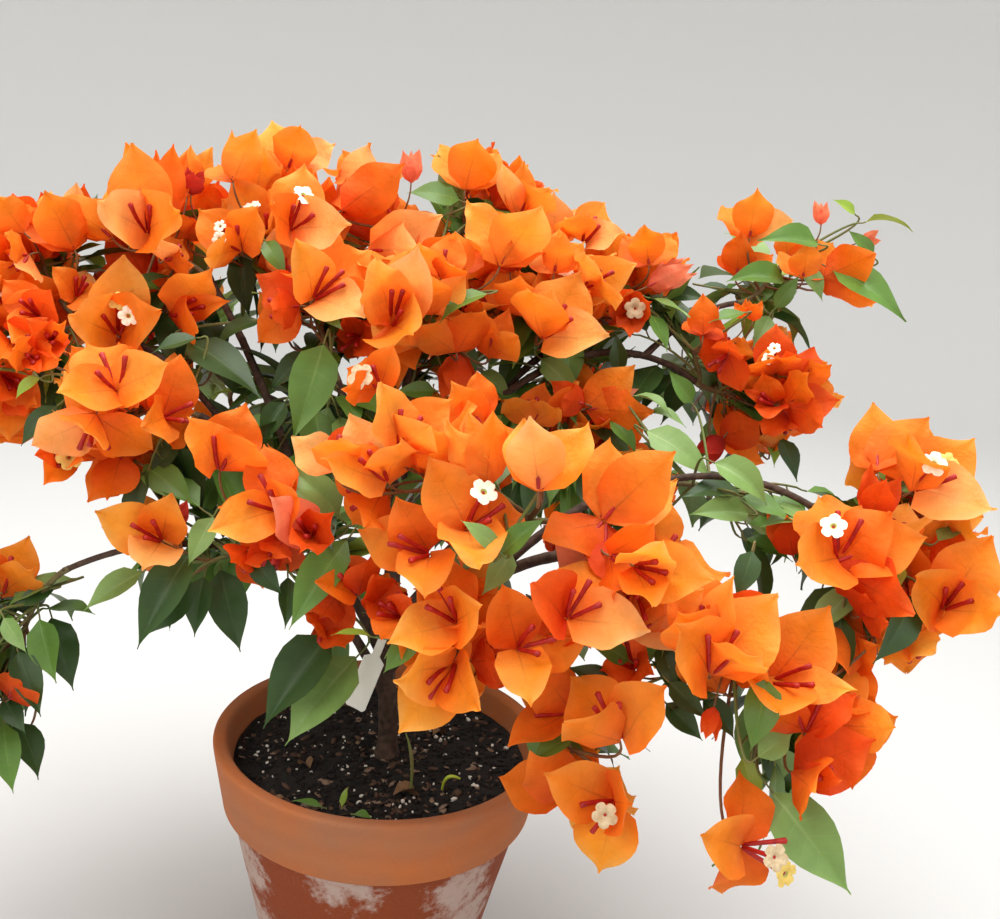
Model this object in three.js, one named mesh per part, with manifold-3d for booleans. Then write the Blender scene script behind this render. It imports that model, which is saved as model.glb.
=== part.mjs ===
// A bougainvillea bush with orange bracts, growing in a terracotta pot.
// A short woody trunk forks into arching boughs. Each bough ends in masses of foliage, and each
// mass is one stem with twigs, leaves and flower heads of three papery bracts.
// Millimetres, +Z up. The origin is the centre of the pot's flat underside.
import * as THREE from "three";
import { mergeVertices } from "three/addons/utils/BufferGeometryUtils.js";
import Module from "manifold-3d";

const wasm = await Module();
wasm.setup();

const UP = new THREE.Vector3(0, 0, 1);
const GAP = 0.3; // clear space between two neighbouring solids

// The pot, a classic one with a deep rim band.
const POT = {
  height: 180,
  rimRadius: 100,
  mouthRadius: 91.7,
  bandHeight: 41.6,
  bandFootRadius: 92.9,
  bodyTopRadius: 88.4,
  footRadius: 57,
  wall: 8,
  floor: 12,
  chamfer: 2,
  drainRadius: 6,
  drainCircle: 32,
  drains: 3,
  drainSides: 16,
  firstDrain: 30, // degrees round from +X
  sides: 36,
};

// The potting mix, level where the trunk stands and a little lower at the wall.
const SOIL = { level: 168, edgeLevel: 165, flatRadius: 34 };

// The trunk, from a flat cut on the mix to its fork.
const TRUNK = {
  foot: [4, -4],
  fork: [-3, 2, 238],
  footRadius: 8.2,
  radius: 6,
  forkRadius: 4.9,
  flareHeight: 14,
  sides: 10,
  steps: 12,
};

const BOUGH_SIDES = 5;
const BOUGH_STEPS = 6;
const BOUGH_CUT = 0.4; // how far a bough is cut back from the limb it leaves

// Each bough: the limb it leaves and how far along that is, its tip, how far its middle
// arches above a straight line, and its radius at both ends.
const BOUGHS = {
  front: { from: "trunk", at: 1, tip: [72, -58, 342], arch: 14, radii: [3.8, 2.3] },
  top_centre: { from: "trunk", at: 0.98, tip: [-6, 80, 424], arch: 4, radii: [3.9, 2.2] },
  left: { from: "trunk", at: 0.84, tip: [-115, 2, 366], arch: 22, radii: [3.6, 2.2] },
  right_low: { from: "trunk", at: 0.76, tip: [190, -70, 288], arch: 62, radii: [3.7, 2.2] },
  back: { from: "trunk", at: 0.64, tip: [-8, 128, 338], arch: 26, radii: [3.4, 2.2] },
  left_front: { from: "trunk", at: 0.52, tip: [-66, -26, 298], arch: 14, radii: [3, 2.1] },
  front_low: { from: "front", at: 0.4, tip: [72, -78, 276], arch: 16, radii: [2.6, 2.1] },
  right: { from: "right_low", at: 0.3, tip: [158, 10, 350], arch: 16, radii: [2.6, 2] },
  far_right: { from: "right", at: 0.86, tip: [246, -16, 342], arch: 14, radii: [2, 1.8] },
  left_drooping: { from: "left_front", at: 0.8, tip: [-190, -6, 268], arch: 16, radii: [2, 1.7] },
  far_left: { from: "left", at: 0.8, tip: [-200, 56, 402], arch: 14, radii: [2.1, 1.9] },
  left_top: { from: "left", at: 0.42, tip: [-128, 62, 436], arch: 12, radii: [2.7, 2] },
  centre_left: { from: "top_centre", at: 0.24, tip: [-42, 26, 388], arch: 4, radii: [2.7, 2] },
  top_right: { from: "top_centre", at: 0.34, tip: [84, 98, 408], arch: 10, radii: [2.9, 2.1] },
  upper_right: { from: "top_right", at: 0.5, tip: [180, 112, 388], arch: 30, radii: [2.4, 2] },
  long_upper_right: { from: "upper_right", at: 0.72, tip: [204, 138, 440], arch: 8, radii: [1.9, 1.7] },
  back_left: { from: "back", at: 0.42, tip: [-124, 118, 356], arch: 20, radii: [2.5, 2] },
  back_right: { from: "back", at: 0.5, tip: [118, 148, 346], arch: 20, radii: [2.5, 2] },
};

// Each mass of foliage: its bough, the centre and half sizes of its space, its flower heads,
// and its leafy twigs.
const MASSES = {
  front_centre_left: { bough: "front", centre: [25, -85, 375], size: [38, 45, 42], heads: 5, leafy: 2 },
  front_centre: { bough: "front", centre: [80, -95, 380], size: [42, 50, 42], heads: 6, leafy: 1 },
  front_right_shoulder: { bough: "front", centre: [135, -90, 345], size: [42, 46, 42], heads: 5, leafy: 1 },
  front_low_left: { bough: "front_low", centre: [33, -100, 288], size: [38, 40, 50], heads: 5, leafy: 2 },
  front_low_mid: { bough: "front_low", centre: [88, -110, 305], size: [40, 40, 40], heads: 5, leafy: 2 },
  front_low_right: { bough: "front_low", centre: [117, -110, 223], size: [42, 40, 58], heads: 5, leafy: 2 },
  right_low: { bough: "right_low", centre: [180, -95, 300], size: [45, 45, 42], heads: 6, leafy: 1 },
  right_low_far: { bough: "right_low", centre: [235, -85, 258], size: [44, 45, 42], heads: 5, leafy: 2 },
  right_hanging: { bough: "right_low", centre: [207, -95, 188], size: [44, 42, 46], heads: 3, leafy: 4 },
  right_tip_low: { bough: "far_right", centre: [265, -35, 318], size: [52, 46, 44], heads: 5, leafy: 2 },
  right_tip: { bough: "far_right", centre: [290, -10, 370], size: [46, 45, 42], heads: 5, leafy: 2 },
  right_leaf_spray: { bough: "right", centre: [200, 20, 346], size: [52, 45, 38], heads: 0, leafy: 7 },
  left_front: { bough: "left_front", centre: [-56, -52, 305], size: [42, 42, 66], heads: 4, leafy: 5 },
  left_low: { bough: "left_front", centre: [-115, -20, 285], size: [50, 50, 50], heads: 2, leafy: 5 },
  left_hanging: { bough: "left_drooping", centre: [-225, -5, 208], size: [52, 42, 72], heads: 2, leafy: 7 },
  left_shoulder: { bough: "left", centre: [-155, -15, 375], size: [50, 50, 52], heads: 7, leafy: 1 },
  far_left: { bough: "far_left", centre: [-235, 45, 385], size: [50, 50, 55], heads: 6, leafy: 2 },
  far_left_top: { bough: "far_left", centre: [-245, 85, 440], size: [50, 50, 45], heads: 5, leafy: 1 },
  left_top: { bough: "left_top", centre: [-170, 65, 455], size: [50, 50, 62], heads: 7, leafy: 1 },
  crown_top_left: { bough: "left_top", centre: [-100, 80, 480], size: [55, 55, 48], heads: 7, leafy: 1 },
  crown_mid_left: { bough: "centre_left", centre: [-65, 40, 435], size: [45, 45, 36], heads: 5, leafy: 1 },
  centre_leaves: { bough: "centre_left", centre: [-62, 34, 368], size: [60, 50, 36], heads: 1, leafy: 6 },
  crown_centre: { bough: "top_centre", centre: [0, 50, 440], size: [42, 45, 52], heads: 6, leafy: 1 },
  crown_top_mid: { bough: "top_centre", centre: [-30, 120, 485], size: [42, 45, 42], heads: 5, leafy: 1 },
  crown_top_right: { bough: "top_centre", centre: [35, 165, 495], size: [56, 50, 42], heads: 5, leafy: 2 },
  crown_right: { bough: "top_right", centre: [75, 85, 445], size: [46, 50, 52], heads: 6, leafy: 1 },
  crown_right_far: { bough: "top_right", centre: [135, 125, 455], size: [46, 50, 50], heads: 6, leafy: 1 },
  centre_back: { bough: "top_right", centre: [92, 62, 360], size: [62, 48, 38], heads: 3, leafy: 3 },
  right_upper_leaves: { bough: "upper_right", centre: [170, 105, 418], size: [52, 48, 42], heads: 2, leafy: 5 },
  right_mid: { bough: "upper_right", centre: [230, 112, 385], size: [50, 50, 50], heads: 6, leafy: 1 },
  back_far_right: { bough: "upper_right", centre: [205, 190, 395], size: [50, 46, 52], heads: 6, leafy: 2 },
  upper_right_spray: { bough: "long_upper_right", centre: [240, 160, 475], size: [65, 50, 50], heads: 4, leafy: 4 },
  back_centre: { bough: "back", centre: [-15, 185, 405], size: [55, 42, 55], heads: 6, leafy: 2 },
  back_low_centre: { bough: "back", centre: [5, 170, 300], size: [55, 42, 55], heads: 5, leafy: 3 },
  back_left: { bough: "back_left", centre: [-165, 140, 395], size: [52, 48, 55], heads: 6, leafy: 2 },
  back_low_left: { bough: "back_left", centre: [-115, 140, 300], size: [50, 48, 52], heads: 4, leafy: 3 },
  back_right: { bough: "back_right", centre: [105, 195, 400], size: [52, 44, 52], heads: 6, leafy: 2 },
  back_low_right: { bough: "back_right", centre: [130, 150, 285], size: [52, 48, 55], heads: 5, leafy: 3 },
};

// The middle of the crown, which flower heads turn away from.
const CROWN_CENTRE = new THREE.Vector3(10, 35, 300);

// Stems and twigs are three-sided. A stem stops short of the middle of its mass, and its twigs
// leave it along its outer part.
const STEM = {
  radii: [2, 1.9],
  spread: 2.6,
  reach: 0.25,
  bend: 0.4,
  sides: 3,
  steps: 4,
  branching: 0.4,
};
const TWIG = { radii: [1.1, 1], arch: 0.12, sides: 3, longest: 30, reach: 0.45, leaves: [0.6, 0.96] };

// One flower head: three bracts in an open cup.
const HEAD = {
  length: 42,
  halfWidth: 16.5,
  sizes: [0.98, 0.8, 0.64],
  widest: 0.5, // how far along a bract it is widest
  opening: 0.82, // angle between a bract and the head's axis, in radians
  sideHeight: 17,
  footRadius: 1.7,
  stalk: 4,
  below: 2.5,
  above: 1.4,
  straightest: 0.35, // least cosine of the bend between a head and its twig
  wobble: 0.5,
  lift: 0.15,
  smallest: 0.94, // the range of the random scale
  range: 0.12,
  furthest: 0.62, // where in its mass a head stands, tried from the outside inwards
  nearest: 0.2,
  step: 0.07,
  spins: 3,
  spin: Math.PI / 4.5,
};

// One leaf, a pointed oval folded a little along its midrib. It leaves its twig sideways, and
// hangs a little.
const LEAF = {
  length: 56,
  halfWidth: 15,
  widest: 0.42,
  thickness: 1.2,
  fold: 4,
  droop: 7,
  sink: 0.4,
  sizes: [1, 0.85, 0.7],
  smallest: 0.8, // the range of the random scale
  range: 0.3,
  spin: 0.8,
  sideways: 0.9,
  hang: 0.225,
  turns: 8,
};

// Space rules for everything that grows in a mass.
const SPACE = {
  furthest: 1.05, // how far out of its mass's outline a piece may reach
  margin: 0.025, // how much nearer a piece is to its own mass than to any other
  limbGap: 0.7,
  sampleSteps: 6,
  twigSteps: 12,
  boughSteps: 14,
  stemSteps: 6,
  tries: 9,
  wobble: 1.4,
  seed: 1009,
};

// A plain plant label. Its strap is closed in a loose loop round the first bough, just above the
// fork, and its bare plate hangs forward and to the left from the front of the loop.
const LABEL = {
  loopCentre: [3, -8, 255.5],
  loopRadius: 10,
  loopSlant: -0.9,
  loopSides: 14,
  strapWidth: 5,
  strapLength: 19,
  width: 13,
  length: 34,
  shoulder: 3,
  thickness: 0.9,
  tilt: -0.2,
  lean: 0.25,
  turn: -0.3,
};

const COLOUR = {
  terracotta: 0xa8603c,
  mix: 0x1e1712,
  bark: 0x6b5138,
  bract: 0xf07a14,
  leaf: 0x4f7a35,
  plastic: 0xc8cdbe,
};

// Seeded numbers from 0 up to 1, the same for the same seed.
function seededNumbers(seed) {
  let state = seed >>> 0;
  return () => {
    state = (state + 0x6d2b79f5) >>> 0;
    let mixed = Math.imul(state ^ (state >>> 15), 1 | state);
    mixed = (mixed + Math.imul(mixed ^ (mixed >>> 7), 61 | mixed)) ^ mixed;
    return ((mixed ^ (mixed >>> 14)) >>> 0) / 4294967296;
  };
}

const vector = (list) => new THREE.Vector3(...list);

function solidOf(geometry) {
  const bare = new THREE.BufferGeometry();
  bare.setAttribute("position", geometry.getAttribute("position"));
  if (geometry.index) bare.setIndex(geometry.index);
  const merged = mergeVertices(bare, 1e-4);
  const vertProperties = new Float32Array(merged.attributes.position.array);
  const corners = merged.index.array;
  const triVerts = [];
  for (let i = 0; i < corners.length; i += 3) {
    const [a, b, c] = corners.slice(i, i + 3);
    if (a !== b && b !== c && c !== a) triVerts.push(a, b, c);
  }
  return new wasm.Manifold(
    new wasm.Mesh({ numProp: 3, vertProperties, triVerts: new Uint32Array(triVerts) }),
  );
}

function geometryOf(solid) {
  const mesh = solid.getMesh();
  const geometry = new THREE.BufferGeometry();
  geometry.setAttribute("position", new THREE.BufferAttribute(mesh.vertProperties, 3));
  geometry.setIndex(new THREE.BufferAttribute(mesh.triVerts, 1));
  geometry.computeVertexNormals();
  return geometry;
}

// The outer surface of the largest body, which drops loose scraps and fills sealed hollows.
function largestBody(solid) {
  const bodies = solid.decompose();
  return bodies.reduce((best, body) => (body.volume() > best.volume() ? body : best));
}

function meshOf(name, solid, colour, roughness) {
  const material = new THREE.MeshStandardMaterial({ color: colour, roughness, metalness: 0 });
  const mesh = new THREE.Mesh(geometryOf(solid), material);
  mesh.name = name;
  return mesh;
}

// A round profile turned about +Z.
function turned(profile, sides) {
  const points = profile.map(([radius, height]) => new THREE.Vector2(radius, height));
  return new THREE.LatheGeometry(points, sides).rotateX(Math.PI / 2);
}

function pot() {
  const { height, wall, floor, chamfer, sides } = POT;
  const bandFoot = height - POT.bandHeight;
  const innerFoot = POT.footRadius - wall + (POT.bodyTopRadius - POT.footRadius) * (floor / bandFoot);
  const profile = [
    [0, 0],
    [POT.footRadius - chamfer, 0],
    [POT.footRadius, chamfer],
    [POT.bodyTopRadius, bandFoot],
    [POT.bandFootRadius - chamfer / 2, bandFoot],
    [POT.bandFootRadius, bandFoot + chamfer / 2],
    [POT.rimRadius, height - chamfer],
    [POT.rimRadius - chamfer, height],
    [POT.mouthRadius + chamfer, height],
    [POT.mouthRadius, height - chamfer],
    [POT.bodyTopRadius - wall, bandFoot],
    [innerFoot, floor],
    [0, floor],
  ];
  let body = solidOf(turned(profile, sides));
  for (let i = 0; i < POT.drains; i++) {
    const angle = THREE.MathUtils.degToRad(POT.firstDrain + (i * 360) / POT.drains);
    const radius = POT.drainRadius;
    const drain = new THREE.CylinderGeometry(radius, radius, 3 * floor, POT.drainSides);
    drain.rotateX(Math.PI / 2);
    drain.translate(POT.drainCircle * Math.cos(angle), POT.drainCircle * Math.sin(angle), 0);
    body = body.subtract(solidOf(drain));
  }
  return body;
}

// The inside radius of the pot at a height.
function insideRadius(height) {
  const bandFoot = POT.height - POT.bandHeight;
  const slope = (POT.bodyTopRadius - POT.footRadius) / bandFoot;
  if (height <= bandFoot) return POT.footRadius - POT.wall + slope * height;
  const share = (height - bandFoot) / (POT.bandHeight - POT.chamfer);
  return THREE.MathUtils.lerp(POT.bodyTopRadius - POT.wall, POT.mouthRadius, share);
}

function soil() {
  const clear = 2 * GAP;
  const bandFoot = POT.height - POT.bandHeight;
  const bottom = POT.floor + clear;
  const profile = [
    [0, bottom],
    [insideRadius(bottom) - clear, bottom],
    [insideRadius(bandFoot) - clear, bandFoot],
    [insideRadius(SOIL.edgeLevel) - clear, SOIL.edgeLevel],
    [SOIL.flatRadius, SOIL.level],
    [0, SOIL.level],
  ];
  return solidOf(turned(profile, POT.sides));
}

// A limb along a curve: a straight round bar, its rings moved onto the curve. The middle point of
// each flat end goes to the first point of its ring, so that the end has no middle point.
function limb(curve, radii, sides, steps, extra = 0) {
  const frames = curve.computeFrenetFrames(steps);
  const profile = [new THREE.Vector2(0, 0)];
  for (let i = 0; i <= steps; i++) profile.push(new THREE.Vector2(radii(i / steps) + extra, i));
  profile.push(new THREE.Vector2(0, steps));
  const geometry = new THREE.LatheGeometry(profile, sides);
  const position = geometry.attributes.position;
  for (let i = 0; i < position.count; i++) {
    const ring = Math.round(position.getY(i));
    const middle = Math.hypot(position.getX(i), position.getZ(i)) < 1e-6;
    const across = middle ? 0 : position.getX(i);
    const over = middle ? radii(ring / steps) + extra : position.getZ(i);
    const place = curve.getPointAt(ring / steps);
    place.addScaledVector(frames.normals[ring], over);
    place.addScaledVector(frames.binormals[ring], across);
    position.setXYZ(i, place.x, place.y, place.z);
  }
  return solidOf(geometry);
}

const taper = (start, end) => (share) => THREE.MathUtils.lerp(start, end, share);

// The limbs of the plant: for each, its curve, its radius along it, and its number of sides.
const limbs = {};

function makeTrunkLimb() {
  const foot = new THREE.Vector3(...TRUNK.foot, SOIL.level + GAP);
  const fork = vector(TRUNK.fork);
  const control = new THREE.Vector3(foot.x, foot.y, (foot.z + fork.z) / 2);
  const curve = new THREE.QuadraticBezierCurve3(foot, control, fork);
  const length = curve.getLength();
  const radii = (share) => {
    const flare = Math.max(0, 1 - (share * length) / TRUNK.flareHeight) ** 2;
    const plain = THREE.MathUtils.lerp(TRUNK.radius, TRUNK.forkRadius, share);
    return plain + (TRUNK.footRadius - TRUNK.radius) * flare;
  };
  limbs.trunk = { curve, radii, sides: TRUNK.sides, steps: TRUNK.steps };
}

function makeBoughLimb(name) {
  const { from, at, tip, arch, radii } = BOUGHS[name];
  const start = limbs[from].curve.getPoint(at);
  const end = vector(tip);
  const control = start.clone().lerp(end, 0.5).addScaledVector(UP, 2 * arch);
  const curve = new THREE.QuadraticBezierCurve3(start, control, end);
  limbs[name] = { curve, radii: taper(...radii), sides: BOUGH_SIDES, steps: BOUGH_STEPS };
}

function limbSolid(name, extra = 0) {
  const { curve, radii, sides, steps } = limbs[name];
  return limb(curve, radii, sides, steps, extra);
}

// The trunk's foot is cut flat and level.
function trunkSolid() {
  const size = 200;
  const level = SOIL.level + GAP;
  const below = new THREE.BoxGeometry(size, size, size);
  below.translate(0, 0, level - size / 2);
  return limbSolid("trunk").subtract(solidOf(below));
}

// A bough is cut clear of the limb it leaves and of every limb made before it.
function boughSolid(name, earlier) {
  let solid = limbSolid(name);
  for (const other of earlier) solid = solid.subtract(limbSolid(other, BOUGH_CUT));
  return largestBody(solid);
}

// How far a point is from a mass's centre: 0 there, and 1 on the outline of its space.
function reachOf(mass, point) {
  const { centre, size } = mass;
  return Math.hypot(
    (point.x - centre.x) / size.x,
    (point.y - centre.y) / size.y,
    (point.z - centre.z) / size.z,
  );
}

// Straight stretches of limbs and stems, each with its radius and the mass it belongs to.
const stretches = [];

function addStretches(curve, radii, steps, owner) {
  for (let i = 0; i < steps; i++) {
    const line = new THREE.Line3(curve.getPoint(i / steps), curve.getPoint((i + 1) / steps));
    stretches.push({ line, radius: radii((i + 0.5) / steps), owner });
  }
}

const nearest = new THREE.Vector3();

function touches(stretch, point, clearance) {
  stretch.line.closestPointToPoint(point, true, nearest);
  return nearest.distanceTo(point) < stretch.radius + clearance;
}

// Points spread over every face of a geometry.
function samples(geometry) {
  const faces = (geometry.index ? geometry.toNonIndexed() : geometry).attributes.position;
  const steps = SPACE.sampleSteps;
  const points = [];
  const corner = [0, 1, 2].map(() => new THREE.Vector3());
  for (let face = 0; face < faces.count; face += 3) {
    corner.forEach((c, k) => c.fromBufferAttribute(faces, face + k));
    for (let i = 0; i <= steps; i++) {
      for (let j = 0; i + j <= steps; j++) {
        const point = new THREE.Vector3();
        point.addScaledVector(corner[0], i / steps);
        point.addScaledVector(corner[1], j / steps);
        point.addScaledVector(corner[2], (steps - i - j) / steps);
        points.push(point);
      }
    }
  }
  return points;
}

// True where a piece stays in its mass's own space and touches no limb or other stem.
function fits(mass, geometry) {
  return samples(geometry).every((point) => {
    const own = reachOf(mass, point);
    if (own > SPACE.furthest) return false;
    if (mass.neighbours.some((other) => reachOf(other, point) < own + SPACE.margin)) return false;
    return !mass.obstacles.some((stretch) => touches(stretch, point, SPACE.limbGap));
  });
}

// True where a twig stays in its mass's own space and touches no limb or other stem.
function runsFree(mass, curve) {
  return curve.getPoints(SPACE.twigSteps).every((point) => {
    const own = reachOf(mass, point);
    if (mass.neighbours.some((other) => reachOf(other, point) < own + SPACE.margin)) return false;
    const clearance = SPACE.limbGap + TWIG.radii[0];
    return !mass.obstacles.some((stretch) => touches(stretch, point, clearance));
  });
}

// Turns a piece modelled along +Y to grow from a place in a direction, spun about itself.
function grown(geometry, place, direction, spin) {
  const turn = new THREE.Quaternion().setFromUnitVectors(new THREE.Vector3(0, 1, 0), direction);
  geometry.rotateY(spin);
  geometry.applyQuaternion(turn);
  return geometry.translate(place.x, place.y, place.z);
}

// A nine-sided cup whose rim is drawn out into three bracts: each takes three points of the rim,
// its tip between its two widest points. Below the cup the nine points of each ring fall together
// in threes, which makes the end of the three-sided twig that the head grows on.
function headPiece(scale) {
  const across = HEAD.length * HEAD.widest * Math.sin(HEAD.opening);
  const sideAngle = Math.atan2(HEAD.halfWidth, across);
  const side = { out: Math.hypot(HEAD.halfWidth, across), up: HEAD.sideHeight };
  const tip = { out: HEAD.length * Math.sin(HEAD.opening), up: HEAD.length * Math.cos(HEAD.opening) };
  const profile = [
    new THREE.Vector2(0, -HEAD.stalk),
    new THREE.Vector2(TWIG.radii[0], -HEAD.stalk),
    new THREE.Vector2(HEAD.footRadius, -HEAD.below),
    new THREE.Vector2(side.out, side.up),
    new THREE.Vector2(0, HEAD.above),
  ];
  const geometry = new THREE.LatheGeometry(profile, 9);
  const position = geometry.attributes.position;
  for (let i = 0; i < position.count; i++) {
    const [x, y, z] = [position.getX(i), position.getY(i), position.getZ(i)];
    const index = Math.round((Math.atan2(x, z) / (2 * Math.PI)) * 9 + 9) % 9;
    const middle = (Math.floor(index / 3) * 2 * Math.PI) / 3;
    if (y < 0) {
      const radius = y < -HEAD.below ? TWIG.radii[0] : HEAD.footRadius;
      position.setXYZ(i, radius * Math.sin(middle), y, radius * Math.cos(middle));
    } else if (Math.hypot(x, z) > 0.5) {
      const place = index % 3 === 1 ? tip : side;
      const angle = middle + ((index % 3) - 1) * sideAngle;
      position.setXYZ(i, place.out * Math.sin(angle), place.up, place.out * Math.cos(angle));
    }
  }
  return geometry.scale(scale, scale, scale);
}

// Draws the two lowest rows of a head's points down to where its twig leaves the stem.
function drawTwigDown(geometry, place, axis, scale, start) {
  const rows = 5;
  const twigDirection = place.clone().sub(start).normalize();
  const turn = new THREE.Quaternion().setFromUnitVectors(axis, twigDirection);
  const middle = place.clone().addScaledVector(axis, -HEAD.stalk * scale);
  const position = geometry.attributes.position;
  const point = new THREE.Vector3();
  for (let i = 0; i < position.count; i++) {
    if (i % rows > 1) continue;
    point.fromBufferAttribute(position, i).sub(middle).applyQuaternion(turn).add(start);
    position.setXYZ(i, point.x, point.y, point.z);
  }
}

// An eight-faced pointed oval that lies along +Y, with its face to +Z.
function leafPiece(scale) {
  const geometry = new THREE.OctahedronGeometry(1);
  const position = geometry.attributes.position;
  for (let i = 0; i < position.count; i++) {
    const [x, y, z] = [position.getX(i), position.getY(i), position.getZ(i)];
    const share = y > 0.5 ? 1 : y < -0.5 ? 0 : LEAF.widest;
    const along = share * LEAF.length - LEAF.sink;
    const lift = Math.abs(x) * LEAF.fold - share ** 2 * LEAF.droop;
    position.setXYZ(i, x * LEAF.halfWidth, along, z * LEAF.thickness + lift);
  }
  return geometry.scale(scale, scale, scale);
}

// Directions spread evenly over a sphere, from a pole to the point opposite to it.
function spreadDirections(pole, count, turnBy) {
  const golden = Math.PI * (3 - Math.sqrt(5));
  const turn = new THREE.Quaternion().setFromUnitVectors(UP, pole);
  return Array.from({ length: count }, (_, i) => {
    const height = 1 - (2 * i + 1) / count;
    const radius = Math.sqrt(1 - height * height);
    const angle = i * golden + turnBy;
    const direction = new THREE.Vector3(radius * Math.cos(angle), radius * Math.sin(angle), height);
    return direction.applyQuaternion(turn);
  });
}

// The masses' spaces and stems. Stems that share a bough's tip start side by side on it.
function prepareMasses() {
  const masses = Object.entries(MASSES).map(([name, given], index) => ({
    name,
    index,
    bough: given.bough,
    heads: given.heads,
    leafy: given.leafy,
    centre: vector(given.centre),
    size: vector(given.size),
  }));
  for (const mass of masses) {
    const sharing = masses.filter((other) => other.bough === mass.bough);
    const { curve } = limbs[mass.bough];
    const along = curve.getTangent(1);
    const tip = curve.getPoint(1);
    const side = new THREE.Vector3().crossVectors(along, UP).normalize();
    const over = new THREE.Vector3().crossVectors(side, along);
    const angleOf = (other) => {
      const towards = other.centre.clone().sub(tip);
      return Math.atan2(towards.dot(over), towards.dot(side));
    };
    const order = [...sharing].sort((a, b) => angleOf(a) - angleOf(b));
    const step = (2 * Math.PI) / order.length;
    const turn = new THREE.Vector2();
    order.forEach((other, i) => {
      const off = angleOf(other) - i * step;
      turn.add(new THREE.Vector2(Math.cos(off), Math.sin(off)));
    });
    const angle = turn.angle() + order.indexOf(mass) * step;
    const spread = sharing.length > 1 ? STEM.spread : 0;
    const start = tip.addScaledVector(along, GAP);
    start.addScaledVector(side, spread * Math.cos(angle));
    start.addScaledVector(over, spread * Math.sin(angle));
    const end = mass.centre.clone().lerp(start, STEM.reach);
    const bend = start.distanceTo(end) * STEM.bend;
    const control = start.clone().addScaledVector(along, bend);
    mass.stem = new THREE.QuadraticBezierCurve3(start, control, end);
    mass.out = mass.centre.clone().sub(CROWN_CENTRE).normalize();
  }
  return masses;
}

function findNeighbours(masses) {
  for (const mass of masses) {
    const widest = Math.max(...mass.size.toArray());
    mass.neighbours = masses.filter((other) => {
      if (other === mass) return false;
      return other.centre.distanceTo(mass.centre) < widest + Math.max(...other.size.toArray());
    });
    mass.obstacles = stretches.filter(
      (stretch) => stretch.owner !== mass.name && touches(stretch, mass.centre, widest),
    );
  }
}

// A gently arched twig from the stem's end to a place.
function twigCurve(start, end) {
  const control = start.clone().lerp(end, 0.5);
  control.addScaledVector(UP, TWIG.arch * start.distanceTo(end));
  return new THREE.QuadraticBezierCurve3(start, control, end);
}

// A short twig is straight, and a longer one bends once.
function twigSolid(curve) {
  const steps = curve.getLength() > TWIG.longest ? 2 : 1;
  return limb(curve, taper(...TWIG.radii), TWIG.sides, steps);
}

function wobbled(direction, amount, random) {
  const wobble = new THREE.Vector3(random() - 0.5, random() - 0.5, random() - 0.5);
  return direction.clone().addScaledVector(wobble, amount).normalize();
}

function pointIn(mass, direction, share) {
  return direction.clone().multiply(mass.size).multiplyScalar(share).add(mass.centre);
}

// The mass with one more flower head, as far out as it fits clear of what has grown already, or
// nothing.
function growHead(mass, grownSoFar, start, direction, random) {
  const axis = wobbled(direction, HEAD.wobble, random).addScaledVector(UP, HEAD.lift).normalize();
  const firstSpin = random() * Math.PI;
  const scale = HEAD.smallest + HEAD.range * random();
  for (const size of HEAD.sizes) {
    for (let share = HEAD.furthest; share >= HEAD.nearest; share -= HEAD.step) {
      const place = pointIn(mass, direction, share);
      if (place.clone().sub(start).normalize().dot(axis) < HEAD.straightest) continue;
      if (!runsFree(mass, new THREE.LineCurve3(start, place))) continue;
      for (let i = 0; i < HEAD.spins; i++) {
        const spin = firstSpin + i * HEAD.spin;
        const piece = grown(headPiece(scale * size), place, axis, spin);
        if (!fits(mass, piece)) continue;
        if (!solidOf(piece).intersect(grownSoFar).isEmpty()) continue;
        drawTwigDown(piece, place, axis, scale * size, start);
        return grownSoFar.add(solidOf(piece));
      }
    }
  }
  return null;
}

// A leaf on a twig, turned about the twig until it fits, or nothing.
function growLeaf(mass, grownSoFar, curve, share, direction, random) {
  const place = curve.getPoint(share);
  const spin = (random() - 0.5) * LEAF.spin;
  const scale = LEAF.smallest + LEAF.range * random();
  const firstTurn = random() * 2 * Math.PI;
  for (const size of LEAF.sizes) {
    for (let i = 0; i < LEAF.turns; i++) {
      const turn = firstTurn + (i * 2 * Math.PI) / LEAF.turns;
      const side = new THREE.Vector3(Math.cos(turn), Math.sin(turn), 0);
      const growth = direction.clone().addScaledVector(side, LEAF.sideways);
      growth.addScaledVector(UP, -LEAF.hang).normalize();
      const piece = grown(leafPiece(scale * size), place, growth, spin);
      if (!fits(mass, piece)) continue;
      const solid = solidOf(piece);
      if (solid.intersect(grownSoFar).isEmpty()) return solid;
    }
  }
  return null;
}

// The mass with one more leafy twig, or nothing where no leaf fits.
function growLeafyTwig(mass, grownSoFar, start, direction, random) {
  const curve = twigCurve(start, pointIn(mass, direction, TWIG.reach));
  if (!runsFree(mass, curve)) return null;
  let solid = grownSoFar;
  for (const share of TWIG.leaves) {
    const leaf = growLeaf(mass, solid, curve, share, direction, random);
    if (leaf) solid = solid.add(leaf);
  }
  return solid === grownSoFar ? null : solid.add(twigSolid(curve));
}

// One mass: its stem, its twigs, and the heads and leaves that fit, all joined.
function massSolid(mass) {
  const random = seededNumbers(SPACE.seed * (mass.index + 1));
  let solid = limb(mass.stem, taper(...STEM.radii), STEM.sides, STEM.steps);
  const count = mass.heads + mass.leafy;
  const directions = spreadDirections(mass.out, count, random() * 2 * Math.PI);
  for (const [i, direction] of directions.entries()) {
    const start = mass.stem.getPoint(1 - STEM.branching * ((i + random()) / count));
    const growTwig = i < mass.heads ? growHead : growLeafyTwig;
    for (let tries = 0; tries < SPACE.tries; tries++) {
      const towards = wobbled(direction, SPACE.wobble * (tries / SPACE.tries), random);
      const more = growTwig(mass, solid, start, towards, random);
      if (!more) continue;
      solid = more;
      break;
    }
  }
  return largestBody(solid);
}

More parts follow.
